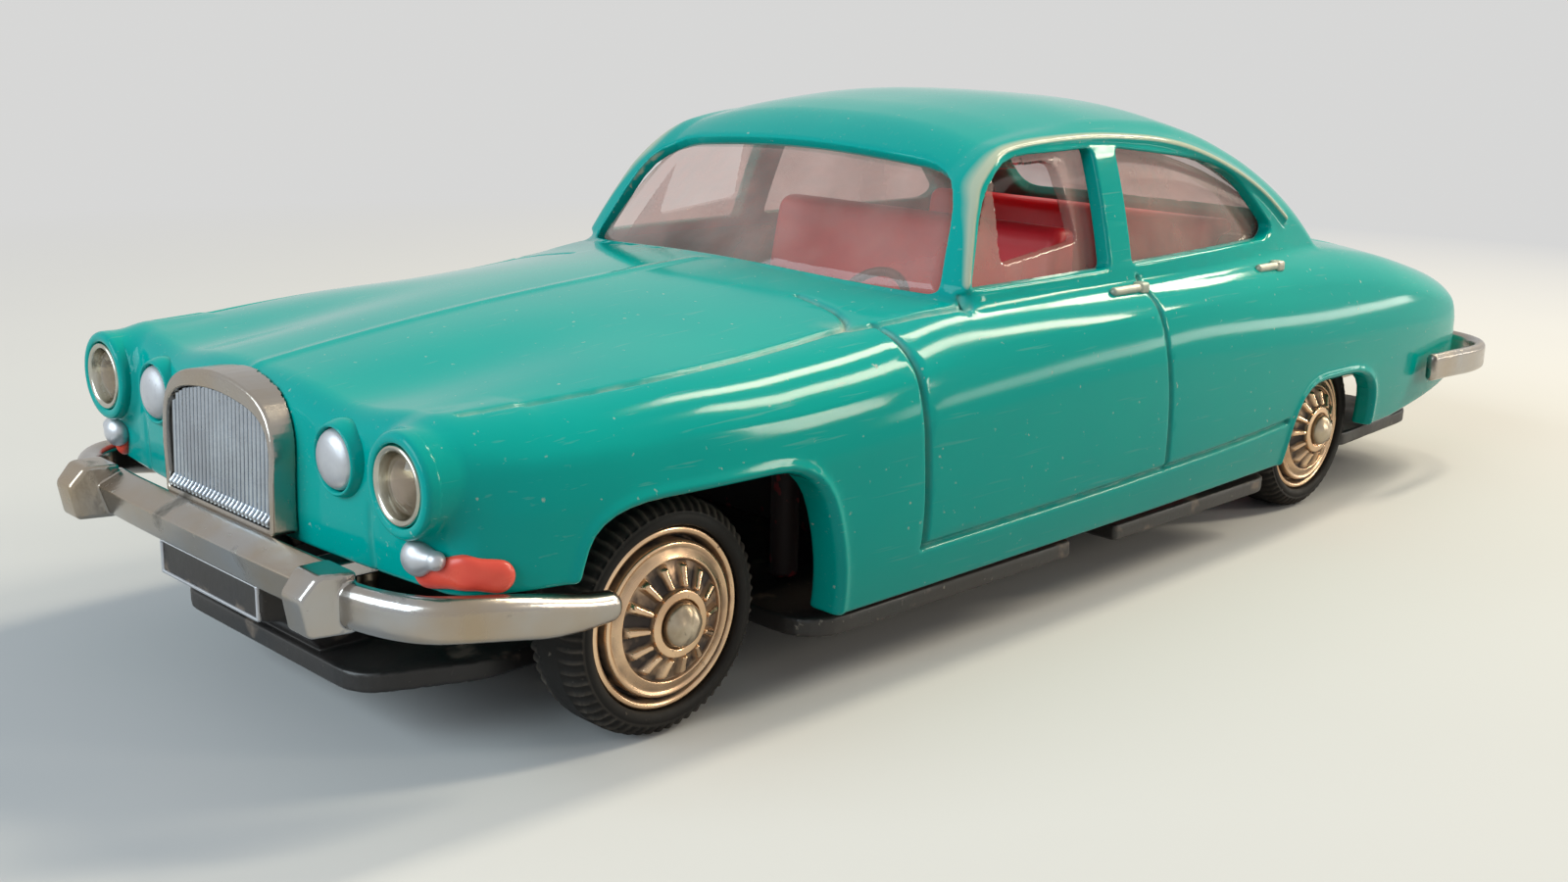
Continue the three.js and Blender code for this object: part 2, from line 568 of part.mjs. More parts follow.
// Inner lamp: a satin dome with a short spigot behind.
function makeInnerLamp(side) {
  const front = BODY_FRONT_Y - 0.9;
  const profile = [
    [0, front], [0.6, front + 0.08], [1.1, front + 0.32], [1.45, front + 0.68], [DOME_RADIUS, front + 1.2],
    [DOME_RADIUS, front + 2.6], [0, front + 2.6],
  ];
  return turned(profile, "y", [side * INNER_LAMP_X, 0, LAMP_Z], 20);
}

const car = new THREE.Group();

function addPart(name, solid, material) {
  const mesh = new THREE.Mesh(geometryOf(solid), material);
  mesh.name = name;
  car.add(mesh);
}

addPart("body_shell", makeBodyShell(), TEAL);
addPart("glazing", makeGlazing(), CLEAR);
addPart("interior", makeInterior(), RED);
addPart("steering_wheel", makeSteeringWheel(), BLACK);
addPart("baseplate", makeBaseplate(), BLACK);
addPart("base_screw_front", makeScrew(SCREW_FRONT_Y), STEEL);
addPart("base_screw_rear", makeScrew(SCREW_REAR_Y), STEEL);
addPart("front_axle", makeAxle(FRONT_AXLE_Y), STEEL);
addPart("rear_axle", makeAxle(REAR_AXLE_Y), STEEL);
addPart("grille", makeGrille(), PLATED);
addPart("front_bumper", makeFrontBumper(), PLATED);
addPart("rear_bumper", makeRearBumper(), PLATED);

const CORNERS = [
  { corner: "front_left", y: FRONT_AXLE_Y, side: 1 },
  { corner: "front_right", y: FRONT_AXLE_Y, side: -1 },
  { corner: "rear_left", y: REAR_AXLE_Y, side: 1 },
  { corner: "rear_right", y: REAR_AXLE_Y, side: -1 },
];
CORNERS.forEach(({ corner, y, side }) => {
  addPart(`hub_${corner}`, makeHub(y, side), PLATED);
  addPart(`tyre_${corner}`, makeTyre(y, side), RUBBER);
});
[["left", 1], ["right", -1]].forEach(([name, side]) => {
  addPart(`headlamp_bowl_${name}`, makeLampBowl(side), PLATED);
  addPart(`headlamp_lens_${name}`, makeLampLens(side), CLEAR);
  addPart(`inner_lamp_${name}`, makeInnerLamp(side), PLATED);
});

export default car;
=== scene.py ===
"""Looks of a plastic toy saloon car: moulded shell, glazing, red seat tub, plated trim and rolling wheels.

Every piece is written as a form, a function of (x, y, z) in millimetres that is negative inside the piece,
or as a turned profile. A form is sampled on a grid and meshed, and its points are then settled on the form,
so that edges, grooves and beads are real shape. Frame: nose towards -Y, the car's left +X, +Z up, ground at
z = 0.
"""

import math

import bpy
import numpy as np
from mathutils import Matrix, Vector


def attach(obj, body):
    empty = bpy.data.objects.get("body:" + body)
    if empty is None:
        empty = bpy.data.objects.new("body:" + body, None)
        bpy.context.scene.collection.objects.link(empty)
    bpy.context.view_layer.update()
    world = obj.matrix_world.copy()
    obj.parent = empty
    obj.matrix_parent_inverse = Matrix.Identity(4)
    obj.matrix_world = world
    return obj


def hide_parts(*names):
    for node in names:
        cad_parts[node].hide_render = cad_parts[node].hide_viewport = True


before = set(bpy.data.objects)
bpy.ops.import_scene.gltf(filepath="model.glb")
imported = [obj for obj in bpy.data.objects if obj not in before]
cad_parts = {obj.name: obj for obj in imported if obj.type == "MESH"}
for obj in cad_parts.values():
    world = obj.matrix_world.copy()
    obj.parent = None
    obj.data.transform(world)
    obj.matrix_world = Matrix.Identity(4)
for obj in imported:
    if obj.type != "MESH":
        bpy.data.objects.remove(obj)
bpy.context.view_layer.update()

MM = 0.001
BODY = "chassis"
FAR = 4.0

# Body shell, in millimetres
WALL = 1.15
ARCH_FLANGES = (1.3, 0.5)
BODY_FRONT_Y = -57.4
BODY_REAR_Y = 59.2
WIDEST_Z = 12.0
WAIST_Z = 22.8
LAMP_Z = 16.9
LAMP_FRONT_Y = -57.7
OUTER_LAMP_X = 16.4
INNER_LAMP_X = 10.1
LAMP_HOLE_Y = -54.8
HOOD_RADIUS = 2.75
BOWL_HOLE = 1.75
DOME_RADIUS = 1.65
LAMP_PLAY = 0.05
NOSE_WALL = 0.7


# Forms


def curve(*keys):
    """A smooth curve through (position, value) keys that never overshoots them."""
    xs, vs = np.array(keys, float).T
    span = np.diff(xs)
    slope = np.diff(vs) / span
    before = np.r_[slope[0], slope]
    after = np.r_[slope, slope[-1]]
    total = before + after
    tangent = np.where(before * after <= 0, 0, 2 * before * after / np.where(total == 0, 1, total))

    def value(position):
        x = np.clip(position, xs[0], xs[-1])
        i = np.clip(np.searchsorted(xs, x, side="right") - 1, 0, len(span) - 1)
        t = (x - xs[i]) / span[i]
        rise = t * t * (3 - 2 * t)
        bend = tangent[i] * t * (1 - t) ** 2 - tangent[i + 1] * t * t * (1 - t)
        return vs[i] + (vs[i + 1] - vs[i]) * rise + span[i] * bend

    return value


def smooth(value, low, high):
    t = np.clip((value - low) / (high - low), 0, 1)
    return t * t * (3 - 2 * t)


def both(a, b, radius):
    """Intersection of two forms, its edge rounded."""
    rounded = np.hypot(np.maximum(radius + a, 0), np.maximum(radius + b, 0))
    return np.minimum(-radius, np.maximum(a, b)) + rounded


def either(a, b, radius):
    """Union of two forms, with a fillet between them."""
    return -both(-a, -b, radius)


def rounded_outline(corners, steps=7):
    """Points of a closed outline through (u, v, radius) corners, as the CAD model draws it."""
    points = []
    spots = np.array([c[:2] for c in corners], float)
    for i, (u, v, radius) in enumerate(corners):
        here = spots[i]
        ends = []
        for other in (spots[i - 1], spots[(i + 1) % len(spots)]):
            way = other - here
            length = np.hypot(*way)
            ends.append(here + way * min(radius, 0.49 * length) / length)
        if radius == 0:
            points.append(here)
            continue
        for t in np.linspace(0, 1, steps):
            points.append((1 - t) ** 2 * ends[0] + 2 * t * (1 - t) * here + t * t * ends[1])
    return np.array(points)


def smooth_path(points, steps=6):
    """An open path through points, rounded at each of them."""
    p = np.array(points, float)
    p = np.vstack([2 * p[0] - p[1], p, 2 * p[-1] - p[-2]])
    t = np.linspace(0, 1, steps, endpoint=False)[:, None]
    parts = []
    for a, b, c, d in zip(p, p[1:], p[2:], p[3:]):
        square = 2 * a - 5 * b + 4 * c - d
        cube = 3 * b - a - 3 * c + d
        parts.append(0.5 * (2 * b + (c - a) * t + square * t**2 + cube * t**3))
    return np.vstack(parts + [p[-2:-1]])


def plane_distance(points, closed):
    """Distance to a path in a plane, negative inside a closed one. Beyond FAR it stops growing."""
    start = np.array(points, float)
    end = np.roll(start, -1, 0)
    if not closed:
        start, end = start[:-1], end[:-1]
    low = np.array(points).min(0) - FAR
    high = np.array(points).max(0) + FAR

    def distance(u, v):
        u, v = np.broadcast_arrays(u, v)
        result = np.full(u.shape, FAR)
        near = (u > low[0]) & (u < high[0]) & (v > low[1]) & (v < high[1])
        pu, pv = u[near], v[near]
        best = np.full(pu.shape, FAR * FAR)
        inside = np.zeros(pu.shape, bool)
        for (au, av), (bu, bv) in zip(start, end):
            du, dv = bu - au, bv - av
            t = np.clip(((pu - au) * du + (pv - av) * dv) / max(du * du + dv * dv, 1e-9), 0, 1)
            best = np.minimum(best, (pu - au - t * du) ** 2 + (pv - av - t * dv) ** 2)
            if closed and dv != 0:
                inside ^= ((av > pv) != (bv > pv)) & (pu < au + (pv - av) * du / dv)
        result[near] = np.where(inside, -1, 1) * np.sqrt(best)
        return result

    return distance


def cut_of(corners):
    """Distance to a rounded outline, negative inside it."""
    return plane_distance(rounded_outline(corners), True)


def line_of(points):
    """Distance to a rounded path."""
    return plane_distance(smooth_path(points), False)


def ball(x, y, z, centre, size):
    """An ellipsoid with semi-axes size, close to a true distance near its surface."""
    q = [(p - c) / s for p, c, s in zip((x, y, z), centre, size)]
    k = np.sqrt(sum(v**2 for v in q))
    g = np.sqrt(sum((v / s) ** 2 for v, s in zip(q, size)))
    return k * (k - 1) / np.maximum(g, 1e-6)


def box_form(x, y, z, low, high, radius):
    """A box with rounded edges."""
    out = []
    for p, a, b in zip((x, y, z), low, high):
        out.append(np.abs(p - (a + b) / 2) - (b - a) / 2 + radius)
    outside = np.sqrt(sum(np.maximum(q, 0) ** 2 for q in out))
    return outside + np.minimum(np.maximum(np.maximum(out[0], out[1]), out[2]), 0) - radius


def capsule(x, y, z, a, b, radius):
    """A round-ended bar from a to b."""
    way = np.array(b, float) - a
    p = (x - a[0], y - a[1], z - a[2])
    t = np.clip(sum(q * w for q, w in zip(p, way)) / way.dot(way), 0, 1)
    return np.sqrt(sum((q - t * w) ** 2 for q, w in zip(p, way))) - radius


# Meshes of forms

CORNERS = np.array([(i, j, k) for i in (0, 1) for j in (0, 1) for k in (0, 1)])
EDGES = [(a, b) for a in range(8) for b in range(a) if np.abs(CORNERS[a] - CORNERS[b]).sum() == 1]
TETRA = np.array([(1, -1, -1), (-1, -1, 1), (-1, 1, -1), (1, 1, 1)], float)


def halves(quads):
    """Both triangles of each four-sided face."""
    return [quads[:, [0, 1, 2]], quads[:, [0, 2, 3]]]


def lengths(vectors):
    return np.sqrt((vectors**2).sum(1, keepdims=True))


def new_object(name, data):
    item = bpy.data.objects.new(name, data)
    bpy.context.scene.collection.objects.link(item)
    return item


def surface_net(values, low, cell):
    """One point in each grid cell that the surface passes through, joined by triangles."""
    inside = values < 0
    size = np.array(values.shape) - 1
    filled = np.zeros(size, np.int8)
    for i, j, k in CORNERS:
        filled += inside[i:i + size[0], j:j + size[1], k:k + size[2]]
    mixed = (filled > 0) & (filled < 8)
    cells = np.argwhere(mixed)
    index = np.full(size, -1)
    index[mixed] = np.arange(len(cells))
    corner = values[tuple((cells[:, None] + CORNERS).transpose(2, 0, 1))]
    points = np.zeros((len(cells), 3))
    hits = np.zeros((len(cells), 1))
    for a, b in EDGES:
        cut = (corner[:, a] < 0) != (corner[:, b] < 0)
        t = corner[cut, a] / (corner[cut, a] - corner[cut, b])
        points[cut] += CORNERS[a] + t[:, None] * (CORNERS[b] - CORNERS[a])
        hits[cut] += 1
    points = low + cell * (cells + points / hits)
    triangles = []
    for axis in range(3):
        u, v = (axis + 1) % 3, (axis + 2) % 3
        ahead = np.moveaxis(inside, axis, 0)
        spots = np.argwhere(ahead[1:] != ahead[:-1])
        order = [axis] + [a for a in range(3) if a != axis]
        where = np.empty_like(spots)
        where[:, order] = spots
        where = where[((where[:, [u, v]] > 0) & (where[:, [u, v]] < size[[u, v]])).all(1)]
        ring = []
        for du, dv in ((-1, -1), (0, -1), (0, 0), (-1, 0)):
            at = where.copy()
            at[:, u] += du
            at[:, v] += dv
            ring.append(index[tuple(at.T)])
        quad = np.stack(ring, 1)
        backward = ~inside[tuple(where.T)]
        quad[backward] = quad[backward][:, ::-1]
        triangles += halves(quad)
    return points, np.vstack(triangles)


def slope_of(form, points, reach=0.01):
    """Value and gradient of a form at points."""
    total = 0
    slope = np.zeros_like(points)
    for way in TETRA:
        value = form(*(points + reach * way).T)
        slope += value[:, None] * way
        total = total + value
    return total / 4, slope / (4 * reach)


def settle(form, points, rounds=4):
    """Moves points onto the surface of a form, and gives the surface's normals there."""
    for _ in range(rounds):
        value, slope = slope_of(form, points)
        step = slope * (value / np.maximum((slope**2).sum(1), 0.1))[:, None]
        points = points - step * np.minimum(1, 0.25 / np.maximum(lengths(step), 1e-9))
    slope = slope_of(form, points)[1]
    return points, slope / np.maximum(lengths(slope), 1e-9)


def split_edges(points, triangles, wanted):
    """Splits the edges that wanted(a, b) picks, and the triangles beside them. New points come last."""
    count = len(points)
    pairs = np.sort(np.stack([triangles, np.roll(triangles, -1, 1)], -1), -1).reshape(-1, 2)
    keys, back = np.unique(pairs[:, 0].astype(np.int64) * count + pairs[:, 1], return_inverse=True)
    a, b = keys // count, keys % count
    chosen = wanted(a, b)
    middle = np.full(len(keys), -1)
    middle[chosen] = count + np.arange(chosen.sum())
    middle = middle[back].reshape(-1, 3)
    points = np.vstack([points, (points[a[chosen]] + points[b[chosen]]) / 2])
    pattern = ((middle >= 0) * [1, 2, 4]).sum(1)
    parts = [triangles[pattern == 0]]
    for turn in range(3):
        six = np.hstack([np.roll(triangles, -turn, 1), np.roll(middle, -turn, 1)])
        split = six[:, 3:] >= 0
        one = six[split[:, 0] & ~split[:, 1] & ~split[:, 2]]
        two = six[split[:, 0] & split[:, 1] & ~split[:, 2]]
        parts += [one[:, [0, 3, 2]], one[:, [3, 1, 2]]]
        parts += [two[:, [3, 1, 4]], two[:, [0, 3, 4]], two[:, [0, 4, 2]]]
    three = np.hstack([triangles, middle])[pattern == 7]
    parts += [three[:, [0, 3, 5]], three[:, [1, 4, 3]], three[:, [2, 5, 4]], three[:, 3:]]
    return points, np.vstack(parts)


def thinned(form, points, triangles, share):
    """The same surface with only a share of its triangles, taken out where it is flattest."""
    mesh = bpy.data.meshes.new("dense")
    mesh.from_pydata(points.tolist(), [], triangles.tolist())
    dense = new_object("dense", mesh)
    collapse = dense.modifiers.new("collapse", "DECIMATE")
    collapse.ratio = share
    collapse.use_collapse_triangulate = True
    left = dense.evaluated_get(bpy.context.evaluated_depsgraph_get()).to_mesh()
    points = np.empty(3 * len(left.vertices))
    left.vertices.foreach_get("co", points)
    triangles = np.empty(3 * len(left.polygons), np.int32)
    left.polygons.foreach_get("vertices", triangles)
    bpy.data.objects.remove(dense)
    bpy.data.meshes.remove(mesh)
    points, normals = settle(form, points.reshape(-1, 3), 2)
    return points, normals, triangles.reshape(-1, 3)


SHORTEST_EDGE = 0.16
RELIEF_EDGE = 0.22
LEAST_RELIEF = 0.02


def mesh_form(form, low, high, cell, detail=None, rounds=3, bend=16, mirrored=False, share=1.0):
    """Points, normals and triangles of a form inside a box. Edges are split where the surface turns by more
    than bend degrees and where detail marks small relief, and a share of the triangles is kept."""
    low = np.array(low, float)
    high = np.array(high, float)
    if mirrored:
        low[0] = cell / 2
    steps = np.ceil((high - low) / cell).astype(int) + 1
    axes = [low[i] + cell * np.arange(steps[i]) for i in range(3)]
    values = form(axes[0][:, None, None], axes[1][None, :, None], axes[2][None, None, :])
    if mirrored:
        values = np.concatenate([values[::-1], values])
        low[0] = -cell * (steps[0] - 0.5)
    points, triangles = surface_net(values, low, cell)
    points, normals = settle(form, points)
    limit = math.cos(math.radians(bend))
    for _ in range(rounds):

        def wanted(a, b):
            length = lengths(points[a] - points[b])[:, 0]
            turned_away = (normals[a] * normals[b]).sum(1) < limit
            if detail is not None:
                middle = (points[a] + points[b]) / 2
                marked = np.max([detail(*p.T) for p in (points[a], points[b], middle)], 0)
                turned_away |= (marked > LEAST_RELIEF) & (length > RELIEF_EDGE)
            return turned_away & (length > SHORTEST_EDGE)

        old = len(points)
        points, triangles = split_edges(points, triangles, wanted)
        fresh, fresh_normals = settle(form, points[old:], 3)
        points[old:] = fresh
        normals = np.vstack([normals, fresh_normals])
    if share < 1:
        return thinned(form, points, triangles, share)
    return points, normals, triangles


def add_mesh(name, points, normals, triangles, material, body=BODY, slot=None, replaces=None, marks=None):
    """A Blender object from millimetre points, riding on a CAD body. Marks say where dust, dirt, painted
    shade and a painted highlight lie.
    """
    mesh = bpy.data.meshes.new(name)
    mesh.from_pydata((points * MM).tolist(), [], triangles.tolist())
    mesh.polygons.foreach_set("use_smooth", np.ones(len(mesh.polygons), bool))
    mesh.update()
    if normals is not None:
        mesh.normals_split_custom_set_from_vertices(normals.tolist())
    if marks is not None:
        mesh.attributes.new("mark", "FLOAT", "POINT").data.foreach_set("value", marks.astype(np.float32))
    mesh.materials.append(material)
    piece = new_object(name, mesh)
    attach(piece, body)
    if replaces:
        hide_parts(replaces)


# The shell's form

deck_height = curve(
    (-58, 19.8), (-52, 20.7), (-46, 21.5), (-40, 22.15), (-34, 22.65), (-27.5, 23.1), (-20, 23.45),
    (0, 23.2), (22, 23.2), (31, 23), (39, 22.1), (48, 20.2), (55, 18.3), (60, 16.4),
)
deck_fall = curve(
    (-58, -0.2), (-52, 0.75), (-48, 1), (-42, 1.25), (-34, 1.65), (-30, 1.7), (-24, 1.5), (-17, 0.9),
    (-7, 0.72), (20, 0.8), (35, 1.2), (60, 1.3),
)
body_width = curve(
    (-58, 17.6), (-55, 19.5), (-51, 20.8), (-46, 21.6), (-38, 22.1), (-22, 22.35), (0, 22.4),
    (18, 22.2), (35, 21.6), (45, 20.9), (52, 19.9), (57, 18.4), (60, 16.5),
)
crease_height = curve(
    (-58, 17.2), (-50, 17.1), (-43, 16.85), (-36, 16.85), (-28, 17.25), (-19, 17.7), (-6, 18.2), (4, 18.25),
    (14, 17.8), (24, 17.2), (40, 16.6), (60, 15),
)
roof_height = curve(
    (-16, 31.2), (-12, 32.5), (-6, 33.7), (2, 34.3), (9, 34), (14, 33.1), (19, 31.6),
    (24, 29.5), (28, 27.2), (34, 22), (44, 12),
)
cabin_width = curve((-20, 18.9), (-8, 19.25), (4, 19.2), (20, 18.3), (32, 16.8))


def lower_form(x, y, z):
    """Sides with a crease line, bonnet and boot, rounded nose and tail, and lamp hoods."""
    x = np.abs(x)
    width = body_width(y)
    belly = np.where(z < WIDEST_Z, 0.0205, 0.008) * (z - WIDEST_Z) ** 2
    flank = x - (width - belly)
    rise = z - crease_height(y)
    shoulder = (x - (width - 0.3 - 0.36 * rise - 0.02 * np.maximum(rise, 0) ** 2)) / 1.06
    valley = 0.6 * (1 - smooth(y, -53, -33)) * np.exp(-(((x - 9.5) / 3.8) ** 2))
    top = z - (deck_height(y) - deck_fall(y) * (x / 16.5) ** 2 - valley)
    nose_lean = 0.02 * (np.maximum(z - 15, 0) ** 2 + np.maximum(14 - z, 0) ** 2)
    front = BODY_FRONT_Y + 0.0035 * x**2 + nose_lean - y
    tail_lean = 0.03 * np.maximum(z - 13, 0) ** 2 + 0.02 * np.maximum(12 - z, 0) ** 2
    rear = y - (BODY_REAR_Y - 0.008 * x**2 - tail_lean)
    form = both(both(flank, shoulder, 0.5), top, 2.2)
    form = both(form, front, 1.3)
    hood = np.hypot(x - OUTER_LAMP_X, z - LAMP_Z) - HOOD_RADIUS
    form = either(form, both(hood, np.abs(y - LAMP_FRONT_Y - 3.8) - 3.1, 0.05), 0.9)
    return both(both(form, rear, 2), 3 - z, 0.5)


def cabin_form(x, y, z):
    """Leaning sides, raked and bowed windscreen, and one crowned sweep of roof and rear window."""
    x = np.abs(x)
    rise = z - WAIST_Z
    side = (x - (cabin_width(y) - 0.26 * rise - 0.01 * rise**2)) / 1.08
    bow = 3.9 * (1 - rise / 14) * (x / 16.5) ** 2
    screen = (-22.4 + 1.05 * rise + bow - y) / 1.4
    top = (z - (roof_height(y) - 1.7 * (x / 15) ** 2.6)) / 1.1
    return both(both(both(side, screen, 1), top, 1.4), 14 - z, 0.5)


# Openings, drawn in (y, z) from the side or in (x, z) from the end, with a radius for each corner
FRONT_ARCH = [(-50.6, 2, 0), (-50, 11, 2), (-48.6, 15, 4), (-33.6, 15, 3.4), (-31.4, 7.5, 3), (-30.9, 2, 0)]
REAR_ARCH = [(20.4, 2, 0), (20.7, 12, 4.5), (34.2, 11.8, 5), (35.5, 6.4, 1.5), (35.6, 2, 0)]
FRONT_WINDOW = [(-16.85, 22.95, 0.6), (-12.6, 30.75, 4.5), (-1.4, 31.05, 0.5), (-2.2, 23.1, 0.5)]
REAR_WINDOW = [(0.6, 23.2, 0.5), (1.4, 31, 0.6), (16.5, 29.4, 7), (22, 24.2, 0.8), (20.6, 23.4, 0.6)]
SCREEN = [
    (-17.2, 22.6, 0.8), (-14.85, 30.15, 4.6), (-7.5, 30.85, 6), (0, 31.15, 9), (7.5, 30.85, 6),
    (14.85, 30.15, 4.6), (17.2, 22.6, 0.8), (0, 23.75, 9),
]
BACKLIGHT = [(-13, 24.6, 2), (-10.5, 30.6, 2.5), (10.5, 30.6, 2.5), (13, 24.6, 2)]
UNDERCUT = [
    (-70, 0, 0), (70, 0, 0), (70, 8.4, 0), (56, 8, 2), (40, 6.6, 0), (28, 6.5, 0), (27.9, 5.8, 0),
    (-40, 5.1, 0), (-40.1, 11.4, 0), (-70, 11.4, 0),
]
SCREEN_SLANT = 0.7
GLAZING_OPENING = [
    (-12.3, 23.9, 0.8), (-11.4, 29.8, 1.8), (-4.2, 30.2, 1), (-3.7, 24.9, 0.5), (-8, 24.4, 3),
]
arch_cuts = [cut_of(FRONT_ARCH), cut_of(REAR_ARCH)]
window_cuts = [cut_of(FRONT_WINDOW), cut_of(REAR_WINDOW)]
glazing_cut = cut_of(GLAZING_OPENING)
screen_cut = cut_of(SCREEN)
backlight_cut = cut_of(BACKLIGHT)
under_cut = cut_of(UNDERCUT)

# Grooves and beads moulded into the outside, in (y, z) from the side or in (x, y) from above
DOOR_LINES = [
    [(-24.8, 21.3), (-24.65, 20.6), (-24.65, 19.3), (-24.7, 18), (-24.6, 15), (-24.45, 12), (-24.3, 8.3)],
    [(-24.3, 8.3), (-10, 8.5), (2.1, 8.8), (12, 9.1), (19.5, 9.5)],
    [(0.9, 22.2), (1, 21.4), (1.1, 20), (1.3, 17.6), (1.7, 14.4), (1.9, 11), (2.1, 8.8)],
    [(-17.5, 22.5), (-17.9, 21.8)],
]
DOOR_DEPTHS = (0.4, 0.4, 0.25, 0.2)
BONNET_LINE = [
    (16.6, -54), (16.9, -50), (17.4, -46.6), (17.75, -42.9), (17.75, -40), (17.6, -37), (17.4, -33.8),
    (17.2, -30.3), (17.1, -28.4), (17.15, -27), (16.6, -26.2), (15.9, -25.7), (14.8, -25.3), (13.6, -25.2),
    (11.5, -25.1),
]
LEDGE_LINE = [(17.4, -26.8), (17.9, -24.3), (18.4, -21.3), (18.7, -19.7), (19.05, -17.3)]
BOOT_LINE = [(0, 31.4), (9, 31.7), (12.5, 33.6), (13.6, 40), (13.4, 48), (12.6, 56)]
DRIP_RAIL = [
    (-17.3, 23.1), (-16.3, 25.2), (-14.95, 27.7), (-13.6, 29.4), (-11.3, 30.9), (-8.9, 31.5), (-5.3, 31.8),
    (-0.5, 31.9), (4, 31.7), (7.3, 31.4), (10.8, 30.8), (14.4, 29.8), (18.1, 28.4), (21.2, 26.8),
    (24.2, 24.8),
]
door_lines = [line_of(p) for p in DOOR_LINES]
bonnet_line = line_of(BONNET_LINE)
ledge_line = line_of(LEDGE_LINE)
boot_line = line_of(BOOT_LINE)
drip_rail = line_of(DRIP_RAIL)


def bead(distance, width):
    return np.exp(-((distance / width) ** 2))


def relief(x, y, z):
    """How far the outside stands proud of the plain form: beads above it, grooves below it."""
    x = np.abs(x)
    total = 0.42 * smooth(x, 13.5, 15) * bead(drip_rail(y, z), 0.42) * smooth(z, 22, 23)
    lower_side = smooth(x, 17, 18)
    for line, depth in zip(door_lines, DOOR_DEPTHS):
        total = total - depth * lower_side * bead(line(y, z), 0.2)
    lip = np.minimum(arch_cuts[0](y, z), arch_cuts[1](y, z))
    total = total + 0.15 * lower_side * bead(lip - 0.4, 0.35)
    bonnet = smooth(z, 19, 20) * (1 - smooth(y, -24, -22))
    total = total - 0.3 * bonnet * bead(bonnet_line(x, y), 0.2) + 0.1 * bonnet * bead(x, 0.35)
    total = total - 0.25 * smooth(z, 20, 20.6) * bead(ledge_line(x, y), 0.2)
    nose = (1 - smooth(y, -56, -54)) * (1 - smooth(z, 14.4, 15.4))
    total = total - 0.12 * nose * bead(x - 12.6, 0.22)
    behind = smooth(y, 28, 30) * smooth(z, 14, 16)
    return total - 0.28 * behind * bead(boot_line(x, y), 0.2)


def shell_form(x, y, z):
    cabin = cabin_form(x, y, z)
    plain = either(lower_form(x, y, z), cabin, 0.4)
    wall = WALL + NOSE_WALL * (1 - smooth(y, -51, -48))
    for cut, flange in zip(arch_cuts, ARCH_FLANGES):
        wall = wall + flange * (1 - smooth(cut(y, z), 0.7, 1.5)) * smooth(np.abs(x), 15, 17)
    form = both(plain - relief(x, y, z), -(plain + wall), 0.1)
    x = np.abs(x)
    for cut in arch_cuts:
        form = both(form, -cut(y, z), 0.5)
    for cut in window_cuts:
        form = both(form, -cut(y, z), 0.25)
    form = both(form, -np.maximum(screen_cut(x, z - SCREEN_SLANT * cabin), y + 9), 0.2)
    form = both(form, -np.maximum(backlight_cut(x, z - SCREEN_SLANT * cabin), 13 - y), 0.25)
    form = both(form, -under_cut(y, z), 0.3)
    bowl = np.hypot(x - OUTER_LAMP_X, z - LAMP_Z) - BOWL_HOLE
    dome = np.hypot(x - INNER_LAMP_X, z - LAMP_Z) - DOME_RADIUS - LAMP_PLAY
    for hole in (bowl, dome):
        form = both(form, -np.maximum(hole, y - LAMP_HOLE_Y), 0.1)
    return form


# Materials


def new_tree(name):
    material = bpy.data.materials.new(name)
    material.use_nodes = True
    material.node_tree.nodes.clear()
    return material, material.node_tree


def put(tree, kind, inputs=(), **settings):
    """A shader node with its settings, and its inputs linked to sockets or set to constants."""
    node = tree.nodes.new("ShaderNode" + kind)
    for key, value in settings.items():
        setattr(node, key, value)
    for key, value in dict(inputs).items():
        if isinstance(value, bpy.types.NodeSocket):
            tree.links.new(value, node.inputs[key])
        else:
            node.inputs[key].default_value = value
    return node


def noise(tree, place, scale, detail=3.0, distortion=0.0):
    inputs = {"Vector": place, "Scale": scale, "Detail": detail, "Distortion": distortion}
    return put(tree, "TexNoise", inputs).outputs["Fac"]


def ramp(tree, value, low, high, start=0.0, end=1.0):
    """A value stretched from low..high to start..end."""
    inputs = {"Value": value, "From Min": low, "From Max": high, "To Min": start, "To Max": end}
    return put(tree, "MapRange", inputs).outputs["Result"]


def blend(tree, amount, first, second):
    """Two colours mixed, each a socket or an (r, g, b)."""
    sides = [s if isinstance(s, bpy.types.NodeSocket) else (*s, 1) for s in (first, second)]
    return put(tree, "MixRGB", {"Fac": amount, "Color1": sides[0], "Color2": sides[1]}).outputs["Color"]


def times(tree, value, factor):
    return put(tree, "Math", {0: value, 1: factor}, operation="MULTIPLY").outputs[0]


def most(tree, *values):
    result = values[0]
    for value in values[1:]:
        result = put(tree, "Math", {0: result, 1: value}, operation="MAXIMUM").outputs[0]
    return result


def mix_shaders(tree, amount, first, second):
    return put(tree, "MixShader", {0: amount, 1: first.outputs[0], 2: second.outputs[0]})


def object_place(tree):
    return put(tree, "TexCoord").outputs["Object"]


def end_tree(material, tree, shader):
    output = put(tree, "OutputMaterial")
    tree.links.new(shader, output.inputs["Surface"])
    return material


